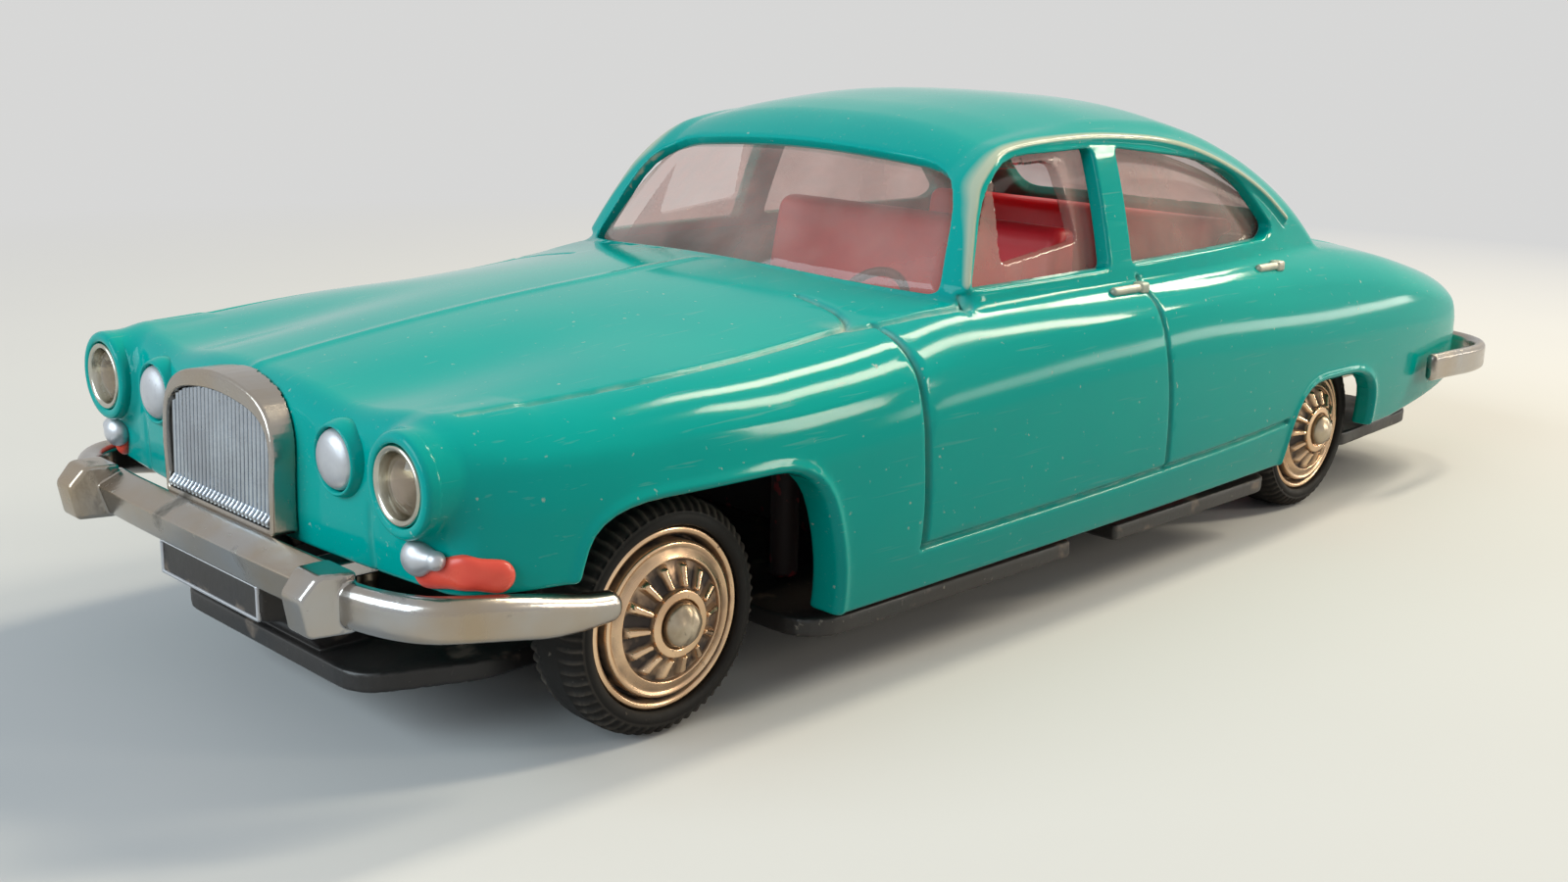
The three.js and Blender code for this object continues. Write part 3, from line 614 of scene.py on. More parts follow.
def worn_material(
    name, colour, shade, roughness, metallic=0.0, grain=250, speck_and_shade=(0.3, 0.27, 0.22), specks=0.0,
    patch=None, patches=0.5, bump=0.1, scratched=0.0, marked=0.0, specular=0.5, painted_highlight=None, milky=0.0,
):
    """A moulded, painted or plated surface: uneven colour, worn patches, dust specks, fine scratches and,
    where the mesh carries marks, dust in grooves, painted shade in recesses and a painted highlight on beads."""
    material, tree = new_tree(name)
    place = object_place(tree)
    broad = noise(tree, place, grain, 4)
    fine = noise(tree, place, 1900, 3)
    base = blend(tree, ramp(tree, broad, 0.3, 0.7), colour, shade)
    rough = ramp(tree, broad, 0.3, 0.75, roughness * 0.75, roughness * 1.35)
    metal = ramp(tree, broad, 0.0, 1.0, metallic, metallic)
    dulled = []
    if specks:
        dulled.append(ramp(tree, fine, 0.72 - 0.12 * specks, 0.78, 0.0, 0.85))
    if scratched:
        drawn = put(tree, "Mapping", {"Vector": place, "Rotation": (0.2, 0.1, 0.12), "Scale": (9, 0.35, 9)})
        dulled.append(ramp(tree, noise(tree, drawn.outputs[0], 420, 2), 0.66, 0.74, 0.0, scratched))
    # Marks laid in the speck colour: dust in the shell's grooves, painted shade in the hubs' recesses and on
    # the tub's low front.
    if marked:
        mark = put(tree, "Attribute", attribute_name="mark").outputs["Fac"]
        shade_and_dirt = ramp(tree, noise(tree, place, 700, 3), 0.35, 0.7, 0.25 * marked, marked)
        dulled.append(times(tree, mark, shade_and_dirt))
    if patch:
        worn = ramp(tree, noise(tree, place, grain * 1.7, 6, 0.4), 1.02 - patches, 1.1 - patches)
        base = blend(tree, worn, base, patch)
        rough = blend(tree, worn, rough, (0.55, 0.55, 0.55))
        metal = blend(tree, worn, metal, (metallic * 0.4,) * 3)
    # Painted highlight: where marks are negative, along the drip-rail bead, the base colour turns cream.
    if painted_highlight:
        base = blend(tree, ramp(tree, mark, -0.45, -0.85, 0.0, 0.75), base, painted_highlight)
    if dulled:
        dull = most(tree, *dulled)
        base = blend(tree, dull, base, speck_and_shade)
        rough = blend(tree, dull, rough, (0.7, 0.7, 0.7))
        metal = blend(tree, dull, metal, (0.0, 0.0, 0.0))
    relief_node = put(tree, "Bump", {"Height": fine, "Strength": bump, "Distance": 0.0001})
    shader = put(tree, "BsdfPrincipled", {
        "Base Color": base, "Roughness": rough, "Metallic": metal, "Normal": relief_node.outputs[0],
        "Specular IOR Level": specular, "Subsurface Weight": milky, "Subsurface Scale": 1.0,
        "Subsurface Radius": (0.005, 0.0015, 0.0015),
    })
    return end_tree(material, tree, shader.outputs[0])


def clear_material(name, tint, haze, haziness, roughness):
    """Clear plastic: tinted, mirror-like at a slant, and hazy where it is rubbed."""
    material, tree = new_tree(name)
    place = object_place(tree)
    rubbed = noise(tree, place, 130, 5)
    stain = blend(tree, ramp(tree, rubbed, 0.3, 0.7), tint, (0.9, 0.84, 0.82))
    through = put(tree, "BsdfTransparent", {"Color": stain})
    dust = blend(tree, noise(tree, place, 900), haze, (0.5, 0.42, 0.38))
    film = put(tree, "BsdfDiffuse", {"Color": dust})
    outside = ramp(tree, put(tree, "NewGeometry").outputs["Backfacing"], 0, 1, 1, 0)
    rubbing = ramp(tree, rubbed, 0.25, 0.75, 0.5 * haziness, 1.5 * haziness)
    milky = mix_shaders(tree, times(tree, rubbing, outside), through, film)
    shine = put(tree, "BsdfGlossy", {"Color": (1, 1, 1, 1), "Roughness": roughness})
    mirrored = times(tree, put(tree, "Fresnel", {"IOR": 1.35}).outputs[0], outside)
    return end_tree(material, tree, mix_shaders(tree, mirrored, milky, shine).outputs[0])


# Its cream crest colour is a painted highlight along the drip-rail bead.
body_plastic = worn_material(
    "body_plastic", (0.0, 0.37, 0.32), (0.0, 0.345, 0.31), 0.09, grain=90, speck_and_shade=(0.42, 0.5, 0.42),
    specks=0.12, bump=0.015, scratched=0.1, marked=0.8, specular=0.13, painted_highlight=(0.62, 0.58, 0.42),
)
# Its near-black speck colour is painted shade, laid on the tub's low front and pegs by the marks.
red_plastic = worn_material(
    "red_plastic", (0.92, 0.045, 0.07), (0.8, 0.035, 0.055), 0.38, grain=160, bump=0.05,
    speck_and_shade=(0.02, 0.008, 0.008), marked=3.0, milky=0.6,
)
dark_plastic = worn_material("dark_plastic", (0.03, 0.014, 0.012), (0.02, 0.01, 0.01), 0.4, grain=300)
base_plastic = worn_material(
    "base_plastic", (0.016, 0.015, 0.015), (0.03, 0.025, 0.022), 0.45, grain=220, patch=(0.15, 0.115, 0.09),
    patches=0.42, specks=0.3, bump=0.2,
)
# Silver with a slight blue cast; the cast is a painted reflection of the cool front lamp.
plated_trim = worn_material(
    "plated_trim", (0.42, 0.435, 0.45), (0.4, 0.32, 0.23), 0.22, 1.0, grain=130, patch=(0.1, 0.085, 0.07),
    patches=0.38, specks=0.1, bump=0.12,
)
# Silver with a blue cast; the cast is a painted reflection of the cool front lamp.
plated_slats = worn_material(
    "plated_slats", (0.52, 0.58, 0.64), (0.36, 0.39, 0.43), 0.25, 1.0, grain=350, specks=0.2, bump=0.15,
)
# Its dark speck colour also paints shade into the disc's recesses, through the marks.
plated_hub = worn_material(
    "plated_hub", (0.86, 0.6, 0.38), (0.56, 0.36, 0.22), 0.18, 1.0, grain=300, speck_and_shade=(0.06, 0.046, 0.04),
    specks=0.15, bump=0.06, marked=1.4,
)
plated_bowl = worn_material(
    "plated_bowl", (0.6, 0.6, 0.53), (0.42, 0.4, 0.33), 0.2, 1.0, grain=400, bump=0.06,
)
rubber = worn_material(
    "rubber", (0.012, 0.011, 0.01), (0.022, 0.02, 0.018), 0.62, grain=400, speck_and_shade=(0.2, 0.17, 0.14),
    specks=0.3, bump=0.3, marked=0.6, specular=0.2,
)
steel = worn_material(
    "steel", (0.5, 0.42, 0.32), (0.34, 0.27, 0.19), 0.36, 1.0, grain=600, speck_and_shade=(0.1, 0.07, 0.05),
    specks=0.3, bump=0.4,
)
silver_paint = worn_material(
    "silver_paint", (0.6, 0.61, 0.64), (0.46, 0.46, 0.48), 0.42, 0.6, grain=500, speck_and_shade=(0.16, 0.14, 0.15),
    specks=0.2,
)
orange_paint = worn_material(
    "orange_paint", (0.95, 0.12, 0.07), (0.85, 0.075, 0.05), 0.32, grain=500, bump=0.08,
)
cream_paint = worn_material("cream_paint", (0.5, 0.46, 0.36), (0.3, 0.36, 0.3), 0.38, 0.25, grain=900)
clear_glazing = clear_material("clear_glazing", (0.96, 0.89, 0.87), (0.78, 0.42, 0.35), 0.35, 0.06)
clear_lens = clear_material("clear_lens", (0.9, 0.87, 0.82), (0.5, 0.46, 0.4), 0.06, 0.05)


def seen_rays(tree):
    """One for rays from the camera, metal and glass."""
    path = put(tree, "LightPath").outputs
    return most(tree, path["Is Camera Ray"], path["Is Glossy Ray"], path["Is Transmission Ray"])


def paper_material():
    """Pale paper that keeps the shadow near the car and, as seen, turns as even as the background further
    off. It throws less light back up at the car than its pale look would."""
    material, tree = new_tree("floor_paper")
    place = object_place(tree)
    seen = seen_rays(tree)
    pale = blend(tree, noise(tree, place, 30), (0.64, 0.64, 0.635), (0.62, 0.62, 0.615))
    paper = put(tree, "BsdfDiffuse", {"Color": blend(tree, seen, (0.3, 0.3, 0.3), pale)})
    backdrop = put(tree, "Emission", {"Color": (*BACKDROP, 1), "Strength": 1.0})
    distance = put(tree, "VectorMath", {0: place}, operation="LENGTH").outputs["Value"]
    far = times(tree, ramp(tree, distance, 0.09, 0.24), seen)
    return end_tree(material, tree, mix_shaders(tree, far, paper, backdrop).outputs[0])


BACKDROP = (0.68, 0.68, 0.675)
floor_paper = paper_material()


# Pieces


def flipped(points, normals, triangles):
    """The same mesh on the car's other side."""
    side = np.array([-1.0, 1.0, 1.0])
    return points * side, normals * side, triangles[:, ::-1]


def vertex_normals(points, triangles):
    a, b, c = points[triangles].transpose(1, 0, 2)
    face = np.cross(b - a, c - a)
    total = np.zeros_like(points)
    for corner in range(3):
        np.add.at(total, triangles[:, corner], face)
    return total / np.maximum(lengths(total), 1e-12)


def lathe(outline, axis, centre, steps, shape=None):
    """A turned piece. The outline holds (radius, position) points, closed unless its ends lie on the axis.
    Shape may change radius and position with the angle."""
    outline = np.array(outline, float)
    angle = np.linspace(0, 2 * math.pi, steps, endpoint=False)[:, None] * np.ones(len(outline))
    radius = outline[:, 0] * np.ones((steps, 1))
    place = outline[:, 1] * np.ones((steps, 1))
    if shape:
        radius, place = shape(radius, place, angle)
    grid = np.empty((steps, len(outline), 3))
    grid[..., axis] = place
    grid[..., (axis + 1) % 3] = radius * np.cos(angle)
    grid[..., (axis + 2) % 3] = radius * np.sin(angle)
    index = np.arange(steps * len(outline)).reshape(steps, -1)
    poles = outline[:, 0] < 1e-6
    index[:, poles] = index[:1, poles]
    after = np.roll(index, -1, 0)
    if not poles.any():
        index = np.hstack([index, index[:, :1]])
        after = np.hstack([after, after[:, :1]])
    quads = np.stack([index[:, :-1], after[:, :-1], after[:, 1:], index[:, 1:]], -1).reshape(-1, 4)
    triangles = np.vstack(halves(quads))
    distinct = (triangles != np.roll(triangles, 1, 1)).all(1)
    used, triangles = np.unique(triangles[distinct], return_inverse=True)
    triangles = triangles.reshape(-1, 3)
    points = grid.reshape(-1, 3)[used]
    a, b, c = points[triangles].transpose(1, 0, 2)
    if (a * np.cross(b, c)).sum() < 0:
        triangles = triangles[:, ::-1]
    return points + centre, vertex_normals(points, triangles), triangles


def add_form(name, form, low, high, cell, material, mirrored=True, rounds=2, share=1.0, **links):
    made = mesh_form(form, low, high, cell, rounds=rounds, bend=18, mirrored=mirrored, share=share)
    add_mesh(name, *made, material, **links)


def side_of(y, z, proud=0.0):
    """How far out the shell's side lies at (y, z)."""
    low, high = 12.0, 24.0
    for _ in range(30):
        middle = (low + high) / 2
        inside = lower_form(np.array([middle]), np.array([y]), np.array([z]))[0] < proud
        low, high = (middle, high) if inside else (low, middle)
    return low


def add_shell():
    made = mesh_form(
        shell_form, (0, -59.5, 4), (24, 61, 35.5), 0.5, detail=lambda *p: np.abs(relief(*p)),
        mirrored=True, share=0.38,
    )
    x, y, z = made[0].T
    grooves = np.clip(-relief(x, y, z) / 0.3, 0, 1) * (0.3 + 0.7 * smooth(z, 19.4, 20.4))
    grooves += 0.9 * bead(np.hypot(np.abs(x) - 17.1, y + 27), 0.8) * smooth(z, 20, 21)
    # Painted highlight: negative marks along the drip-rail bead, which the material paints cream.
    rail_highlight = bead(drip_rail(y, z), 0.27) * smooth(np.abs(x), 13.5, 15) * smooth(z, 22.5, 23.5)
    marks = grooves - rail_highlight
    add_mesh("shell", *made, body_plastic, slot="body_plastic", replaces="body_shell", marks=marks)


GLAZING_WALL = 0.85


def glazing_form(x, y, z):
    """A clear bubble inside the cabin, bulging into the windscreen opening and open over the front doors."""
    x = np.abs(x)
    cabin = cabin_form(x, y, z)
    skin = cabin + WALL + 0.15
    within = smooth(-screen_cut(x, z - SCREEN_SLANT * cabin), -0.8, 0.8)
    bulge = 0.95 * within * (1 - smooth(y, -12, -8))
    form = both(skin - bulge, -(skin + GLAZING_WALL), 0.08)
    opening = np.maximum(glazing_cut(y, z), 10 - x)
    return both(both(form, -opening, 0.1), WAIST_Z - 0.4 - z, 0.1)


SEAT_OUTLINE = [
    (-28.9, 15.4, 0.3), (-28.9, 17.4, 0.5), (-18.6, 20.4, 1), (-17.4, 17.2, 1), (-18.6, 15.8, 0.6),
    (-18.9, 6.4, 0.6), (-14, 6.4, 0.5), (-13.2, 12.4, 1.4), (-4.4, 11.2, 1), (-1.6, 25.2, 1.2),
    (0.8, 25.2, 0.9), (1.4, 6.4, 0.5), (8, 6.4, 0.5), (8.8, 12.8, 1.4), (15.4, 11.6, 1), (17.6, 24.8, 1),
    (22.4, 24.4, 0.5), (22.4, 23.2, 0.4), (20.4, 23, 1), (18.4, 5.2, 0), (-20.4, 5.2, 0), (-20.6, 15.4, 0.8),
]
seat_cut = cut_of(SEAT_OUTLINE)


def interior_form(x, y, z):
    """Dash shelf, bulkhead, floor and two benches in one moulding, with a peg under each end of the shelf."""
    x = np.abs(x)
    tub = both(seat_cut(y, z) + 0 * x, x - 14.1, 0.7)
    peg = both(np.hypot(x - 13.6, y + 27.9) - 0.9, np.abs(z - 10.85) - 5.65, 0.2)
    return either(tub, peg, 0.3)


WHEEL_CENTRE = (8, -14.6, 20)
WHEEL_LEAN = math.radians(55)


def steering_wheel_form(x, y, z):
    u = x - WHEEL_CENTRE[0]
    away, up = y - WHEEL_CENTRE[1], z - WHEEL_CENTRE[2]
    v = away * math.cos(WHEEL_LEAN) + up * math.sin(WHEEL_LEAN)
    w = up * math.cos(WHEEL_LEAN) - away * math.sin(WHEEL_LEAN)
    rim = np.hypot(np.hypot(u, v) - 3, w) - 0.33
    spokes = capsule(u, v, w, (-2.9, 0, 0), (2.9, 0, 0), 0.26)
    boss = ball(u, v, w, (0, 0, 0.05), (0.85, 0.85, 0.45))
    column = capsule(u, v, w, (0, 0, -2), (0, 0, 0), 0.45)
    return either(either(either(rim, spokes, 0.25), boss, 0.2), column, 0.2)


FRONT_AXLE_Y = -41.9
REAR_AXLE_Y = 29.5
WHEEL_Z = 6.9
TYRE_FACE = 18.7
TYRE_BACK = 14.3
BASE_Z = 4.2
BASE_SCREWS = (("front", -49.5), ("rear", 46))
BASE_SIDE = [
    (10, -56.5, 2), (12.6, -50, 1), (12.6, -32.6, 0.5), (20.6, -32.6, 3.2), (20.6, -6.7, 0.4),
    (17.6, -6.7, 0.4), (17.6, -1.4, 0.4), (20.6, -1.4, 0.4), (20.6, 20.2, 2), (12.6, 20.2, 0.5),
    (12.6, 37.6, 0.5), (17.5, 37.6, 1.5), (16.5, 54, 3),
]
PLATE_TAB = [
    (-52.5, 3.6, 0), (-52.5, 4.8, 0), (-58.3, 8.6, 0), (-58.3, 9.5, 0.2), (-59.5, 9.5, 0.2),
    (-59.5, 7.3, 0.2), (-58.2, 7.1, 0.5), (-54.5, 3.6, 1),
]
PLATE_FRONT = -59.5
PLATE_HALF_WIDTH = 5.7
base_plan = cut_of(BASE_SIDE + [(-x, y, r) for x, y, r in reversed(BASE_SIDE)])
tab_cut = cut_of(PLATE_TAB)


def base_form(x, y, z):
    """Flat tray drawn in at the wheels, with axle bearings and a tab for the front plate."""
    x = np.abs(x)
    form = both(base_plan(x, y) + 0 * z, np.abs(z - BASE_Z) - 0.6, 0.2)
    for axle in (FRONT_AXLE_Y, REAR_AXLE_Y):
        along = np.abs(y - axle)
        tower = both(both(along - 2.6 + 0.15 * (z - BASE_Z), z - 9, 0.6), np.abs(x - 9.9) - 1.5, 0.2)
        form = either(form, both(tower, 4 - z, 0.1), 0.3)
        form = both(form, 1 - np.hypot(y - axle, z - WHEEL_Z), 0.1)
    tab = both(tab_cut(y, z) + 0 * x, x - PLATE_HALF_WIDTH, 0.15)
    form = either(form, tab, 0.2)
    for _, screw in BASE_SCREWS:
        form = both(form, 1 - np.hypot(x, y - screw), 0.1)
    return form


def plate_border_form(x, y, z):
    """Thin raised edge round the front of the plate."""
    flat = np.maximum(np.abs(x) - 5.6, np.abs(z - 8.4) - 1.02)
    return both(both(flat, -(flat + 0.17), 0.04), np.abs(y - PLATE_FRONT) - 0.14, 0.05)


def screw_form(x, y, z):
    """Round-headed screw with a slot."""
    head = both(ball(x, y, z, (0, 0, 3.3), (1.7, 1.7, 0.7)), z - 3.3, 0.05)
    head = both(head, -np.maximum(np.abs(x) - 0.22, z - 2.85), 0.05)
    turn = np.arctan2(y, x) / (2 * math.pi)
    thread = 0.12 * np.abs(((z / 0.9 - turn) % 1) - 0.5)
    shank = both(np.hypot(x, y) - 0.6 - thread, np.maximum(3.2 - z, z - 12.3), 0.15)
    return either(head, shank, 0.1)


def axle_outline():
    dome = [(1.25 * math.cos(a), 19.8 + 0.8 * math.sin(a)) for a in np.linspace(math.pi / 2, 0, 10)]
    dome[0] = (0, 20.6)
    half = dome + [(1.25, 19.62), (1.2, 19.55), (1.1, 19.52), (0.8, 19.5), (0.75, 19.4)]
    return half + [(r, -p) for r, p in reversed(half)]


def dented(radius, place, angle):
    """Hammered ends of the axle's nail heads."""
    end = smooth(np.abs(place), 19.8, 20.2)
    u, v = radius * np.cos(angle), radius * np.sin(angle)
    dent = np.sin(4.1 * u + 1.3) * np.sin(5.3 * v + 0.4) + 0.6 * np.sin(9.7 * u - 2 * v)
    return radius, place - np.sign(place) * end * 0.05 * (1.2 + dent)


HUB_OUTLINE = [
    (1, 14.7, 0), (5.1, 14.7, 0.2), (5.33, 18.1, 0.1), (5.28, 18.46, 0.15), (4.9, 18.48, 0.15),
    (4.76, 18.1, 0.08), (4.72, 17.5, 0.08), (4.52, 17.5, 0.08), (4.52, 18.5, 0.1), (4.42, 18.74, 0.12),
    (4.22, 18.68, 0.1), (4.1, 18.62, 0.08), (3.56, 18.92, 0.1), (3.46, 18.66, 0.05), (3.2, 18.7, 0.1),
    (2.8, 18.85, 0.1), (2.4, 19.02, 0.1), (2.12, 19.15, 0.08), (2, 19.22, 0.05), (1.92, 19.64, 0.08),
    (1.45, 19.7, 0.08), (1.35, 19.5, 0.06), (1, 19.45, 0),
]
HUB_RIBS = 14


def ribbed(radius, place, angle):
    """Radial ribs on the recessed ring of the wheel disc."""
    ring = smooth(radius, 1.98, 2.16) * (1 - smooth(radius, 3.2, 3.44)) * (place > 18.5)
    rib = smooth(np.cos(HUB_RIBS * angle), 0.1, 0.75)
    return radius, place + 0.46 * ring * rib


def hub_shade_and_dirt(points):
    """Painted shade, with some dirt: darkening in the recesses of the wheel disc."""
    radius = np.hypot(points[:, 1], points[:, 2])
    proud = np.interp(radius, (1.4, 2, 3.5, 4.5, 5.3), (19.7, 19.6, 19, 18.72, 18.45))
    return np.clip((proud - points[:, 0]) / 0.36 - 0.15, 0, 1)


TYRE_OUTLINE = [
    (5.35, 14.5, 0.1), (5.6, 14.3, 0.2), (6.3, 14.35, 0.3), (6.75, 14.8, 0.3), (6.9, 15.4, 0.3),
    (6.9, 16.3, 0.2), (6.9, 17.1, 0.2), (6.9, 17.7, 0.3), (6.76, 18.3, 0.3), (6.35, 18.66, 0.25),
    (6.1, 18.74, 0.1), (6, 18.68, 0.08), (5.9, 18.76, 0.08), (5.6, 18.8, 0.2), (5.35, 18.6, 0.12),
    (5.35, 16.5, 0),
]
TYRE_LUGS = 60


def lug_zone(radius, place):
    off_centre = np.abs(place - (TYRE_FACE + TYRE_BACK) / 2)
    return smooth(radius, 6.15, 6.4) * smooth(off_centre, 0.9, 1.1)


def lugged(radius, place, angle):
    """Fine lugs across both shoulders of the tread."""
    gap = smooth(np.cos(TYRE_LUGS * angle), -0.7, 0.2)
    return radius - 0.24 * lug_zone(radius, place) * gap, place


def tyre_marks(points):
    """Lighter colour on the raised lugs at the tread's shoulders."""
    radius = np.hypot(points[:, 1], points[:, 2])
    lug = smooth(-np.cos(TYRE_LUGS * np.arctan2(points[:, 2], points[:, 1])), 0.3, 0.9)
    return lug * lug_zone(radius + 0.1, points[:, 0])


def superellipse(across, along, half, reach):
    """Distance outside a squared-off curve."""
    u, v = np.abs(across / half), np.maximum(along / reach, 1e-4)
    k = (u**5 + v**5) ** 0.2
    slope = np.hypot((u / k) ** 4 / half, (v / k) ** 4 / reach)
    return (k - 1) / np.maximum(slope, 1e-4)


def rounded_bar(out, up, depth, half_height, radius):
    """A bar's section: flat behind, rounded in front."""
    a = np.abs(out + depth / 2) - depth / 2 + radius
    b = np.abs(up) - half_height + radius
    return np.hypot(np.maximum(a, 0), np.maximum(b, 0)) + np.minimum(np.maximum(a, b), 0) - radius


RIDER_OUTLINE = [
    (-61.5, 9.3, 0.3), (-61.9, 11.4, 0.3), (-60.9, 12.5, 0.3), (-58.9, 12.4, 0.2), (-58.9, 9.2, 0.3),
]
FRONT_TIP_Y = -47.2
REAR_TIP_Y = 44.5
rider_cut = cut_of(RIDER_OUTLINE)


def front_bumper_form(x, y, z):
    """Centre bar with a sloping top and a sharp ridge, faceted over-riders, and half-round ends."""
    x = np.abs(x)
    out = superellipse(x, FRONT_TIP_Y - y, 21.4, 13.2)
    tip = smooth(y, -52.4, -46.6)
    middle = 9.45 + 1.25 * smooth(FRONT_TIP_Y - y, 0, 9.8) + 0.2 * tip
    ends = rounded_bar(out, z - middle, 1.5, 1.2 - 0.4 * tip, 0.74)
    top = (z - 11.3 + 0.5 * out) / 1.12
    face = (out + 0.3 * (11.3 - z)) / 1.05
    bar = both(both(top, face, 0.1), np.maximum(9.4 - z, -(out + 1.8)), 0.3)
    blended = smooth(x, 12.3, 14.2)
    form = bar * (1 - blended) + ends * blended
    form = both(form, y - FRONT_TIP_Y, 0.7)
    lean = 0.16 * np.maximum(-59.6 - y, 0)
    rider = both(rider_cut(y, z) + 0 * x, np.abs(x - 13.3) - 1.35 + lean, 0.22)
    form = either(form, rider, 0.12)
    lug = box_form(x, y, z, (7, -59.6, 9.9), (9, -54, 10.9), 0.15)
    return np.minimum(form, lug)


def rear_bumper_form(x, y, z):
    x = np.abs(x)
    out = superellipse(x, y - REAR_TIP_Y, 22.35, 17.4)
    middle = 10.6 - 0.4 * smooth(y - REAR_TIP_Y, 0, 13)
    form = both(rounded_bar(out, z - middle, 1, 1.2, 0.49), REAR_TIP_Y - y, 0.45)
    for low, high in (((7, 54, 6.2), (9, 61, 7.8)), ((7, 60.5, 6.2), (9, 61.4, 10))):
        form = np.minimum(form, box_form(x, y, z, low, high, 0.15))
    return form


GRILLE_FRONT = -58.8
GRILLE_OUTLINE = [
    (-6.1, 12, 0.3), (6.1, 12, 0.3), (6.35, 17.4, 1.5), (4.9, 19.35, 2), (0, 20.2, 3), (-4.9, 19.35, 2),
    (-6.35, 17.4, 1.5),
]
FIELD_OUTLINE = [
    (-5.75, 12.4, 0.2), (5.75, 12.4, 0.2), (5.95, 17.2, 1.5), (4.5, 18.5, 1.8), (0, 19.1, 3),
    (-4.5, 18.5, 1.8), (-5.95, 17.2, 1.5),
]
SLAT_COUNT = 26
SLAT_PITCH = 0.44
SLAT_FOOT = -58.1
SLAT_SECTION = [(-0.15, 0), (-0.13, -0.3), (-0.06, -0.42), (0.06, -0.42), (0.13, -0.3), (0.15, 0)]
SLAT_LEVELS = [(0, 0, 0.9), (0.02, 0.3, 1.2), (0.3, 0.36, 1.3), (0.55, 0.12, 1.05), (0.7, 0, 1), (1, 0, 1)]
grille_cut = cut_of(GRILLE_OUTLINE)
field_cut = cut_of(FIELD_OUTLINE)


def grille_lean(z):
    return 0.05 * np.maximum(z - 15, 0)


def grille_frame_form(x, y, z):
    """Deep round-topped frame that runs back over the nose, with a shallow backed tray."""
    inside = grille_cut(x, z) + 0 * y
    lean = grille_lean(z)
    block = both(inside, np.maximum(GRILLE_FRONT + lean - y, y + 55.6), 0.18)
    tray = both(field_cut(x, z) + 0 * y, y - SLAT_FOOT - lean, 0.1)
    form = both(block, -tray, 0.12)
    return both(form, -(lower_form(x, y, z) - 0.06), 0.05)


def slat(place):
    """One upright slat with a bright foot, as rings of a loft."""
    heights = np.linspace(12.2, 21, 90)
    inside = field_cut(np.full(90, place), heights) < -0.02
    low, top = heights[inside].min(), heights[inside].max()
    rings = []
    for level, forward, wide in SLAT_LEVELS:
        z = low + level * min(1.0, top - low) if level < 1 else top
        ring = []
        for u, v in SLAT_SECTION:
            y = SLAT_FOOT + v - (forward if v < 0 else 0) + grille_lean(z)
            ring.append((place + wide * u, y, z))
        rings.append(ring)
    return rings


def add_grille():
    add_form(
        "grille_frame", grille_frame_form, (0, -59.8, 11.8), (7, -55.2, 21), 0.22, plated_trim, share=0.5,
        slot="plated_trim", replaces="grille",
    )
    middle = (SLAT_COUNT - 1) / 2
    slats = np.array([slat((i - middle) * SLAT_PITCH) for i in range(SLAT_COUNT)])
    index = np.arange(slats[0, ..., 0].size).reshape(slats.shape[1:3])
    after = np.roll(index, -1, 1)
    quads = np.stack([index[:-1], after[:-1], after[1:], index[1:]], -1).reshape(-1, 4)
    fan = np.array([(0, k, k + 1) for k in range(1, len(SLAT_SECTION) - 1)])
    one = np.vstack([*halves(quads), index[0][fan][:, ::-1], index[-1][fan]])
    triangles = (one + index.size * np.arange(SLAT_COUNT)[:, None, None]).reshape(-1, 3)
    points = slats.reshape(-1, 3)
    normals = vertex_normals(points, triangles)
    add_mesh("grille_slats", points, normals, triangles, plated_slats, slot="plated_trim")


def indicator_form(x, y, z):
    """A drop-shaped lamp laid round the front corner."""
    skin = lower_form(x, y, z)
    front = capsule(x, y, z, (17, -56.4, 12.45), (18.9, -55.5, 12.7), 0.85)
    side = capsule(x, y, z, (18.9, -55.5, 12.7), (19.9, -54.2, 12.45), 0.85)
    return both(both(either(front, side, 0.3), skin - 0.5, 0.4), -(skin + 0.3), 0.1)


def sidelight_form(x, y, z):
    dome = ball(x, y, z, (16.8, -56.8, 13.2), (1.0, 0.75, 0.95))
    stalk = capsule(x, y, z, (16.8, -56.7, 13.2), (18.1, -56.6, 13.3), 0.5)
    return both(either(dome, stalk, 0.3), -(lower_form(x, y, z) + 0.3), 0.1)


def handle_form(front, rear, height):
    out = side_of((front + rear) / 2, height, 0.12)

    def form(x, y, z):
        bar = capsule(x, y, z, (out, front, height), (out, rear - 0.4, height), 0.32)
        low, high = (out - 0.6, rear - 1, height - 0.42), (out + 0.38, rear, height + 0.38)
        return either(bar, box_form(x, y, z, low, high, 0.2), 0.15)

    return form, (out - 0.9, front - 0.6, height - 0.7), (out + 0.7, rear + 0.4, height + 0.7)


BOWL_OUTLINE = [
    (0, -54.4, 0), (0.8, -54.4, 0.2), (1.68, -56, 0.3), (1.7, -56.95, 0.05), (2.05, -57.05, 0.05),
    (2.06, -57.6, 0.1), (1.95, -57.72, 0.08), (1.72, -57.62, 0.08), (1.55, -57, 0.1), (1.45, -56.8, 0.1),
    (0.8, -55.7, 0.3), (0.62, -56.1, 0.15), (0, -56.3, 0),
]
LENS_OUTLINE = [
    (0, -57.58, 0), (0.8, -57.5, 0.3), (1.5, -57.2, 0.3), (1.52, -57.02, 0.05), (0, -57.02, 0),
]
HOOD_RING = [
    (2.1, -56.6, 0), (2.1, -57.5, 0.08), (2.16, -57.66, 0.1), (2.5, -57.72, 0.2), (2.75, -57.5, 0.2),
    (2.76, -56.9, 0.1), (2.7, -56.6, 0),
]
COLLAR_RING = [
    (1.68, -56, 0), (1.68, -57.3, 0.08), (1.76, -57.44, 0.1), (1.9, -57.4, 0.12), (2, -57.15, 0.15),
    (2.12, -56.8, 0.2), (2.1, -56, 0),
]
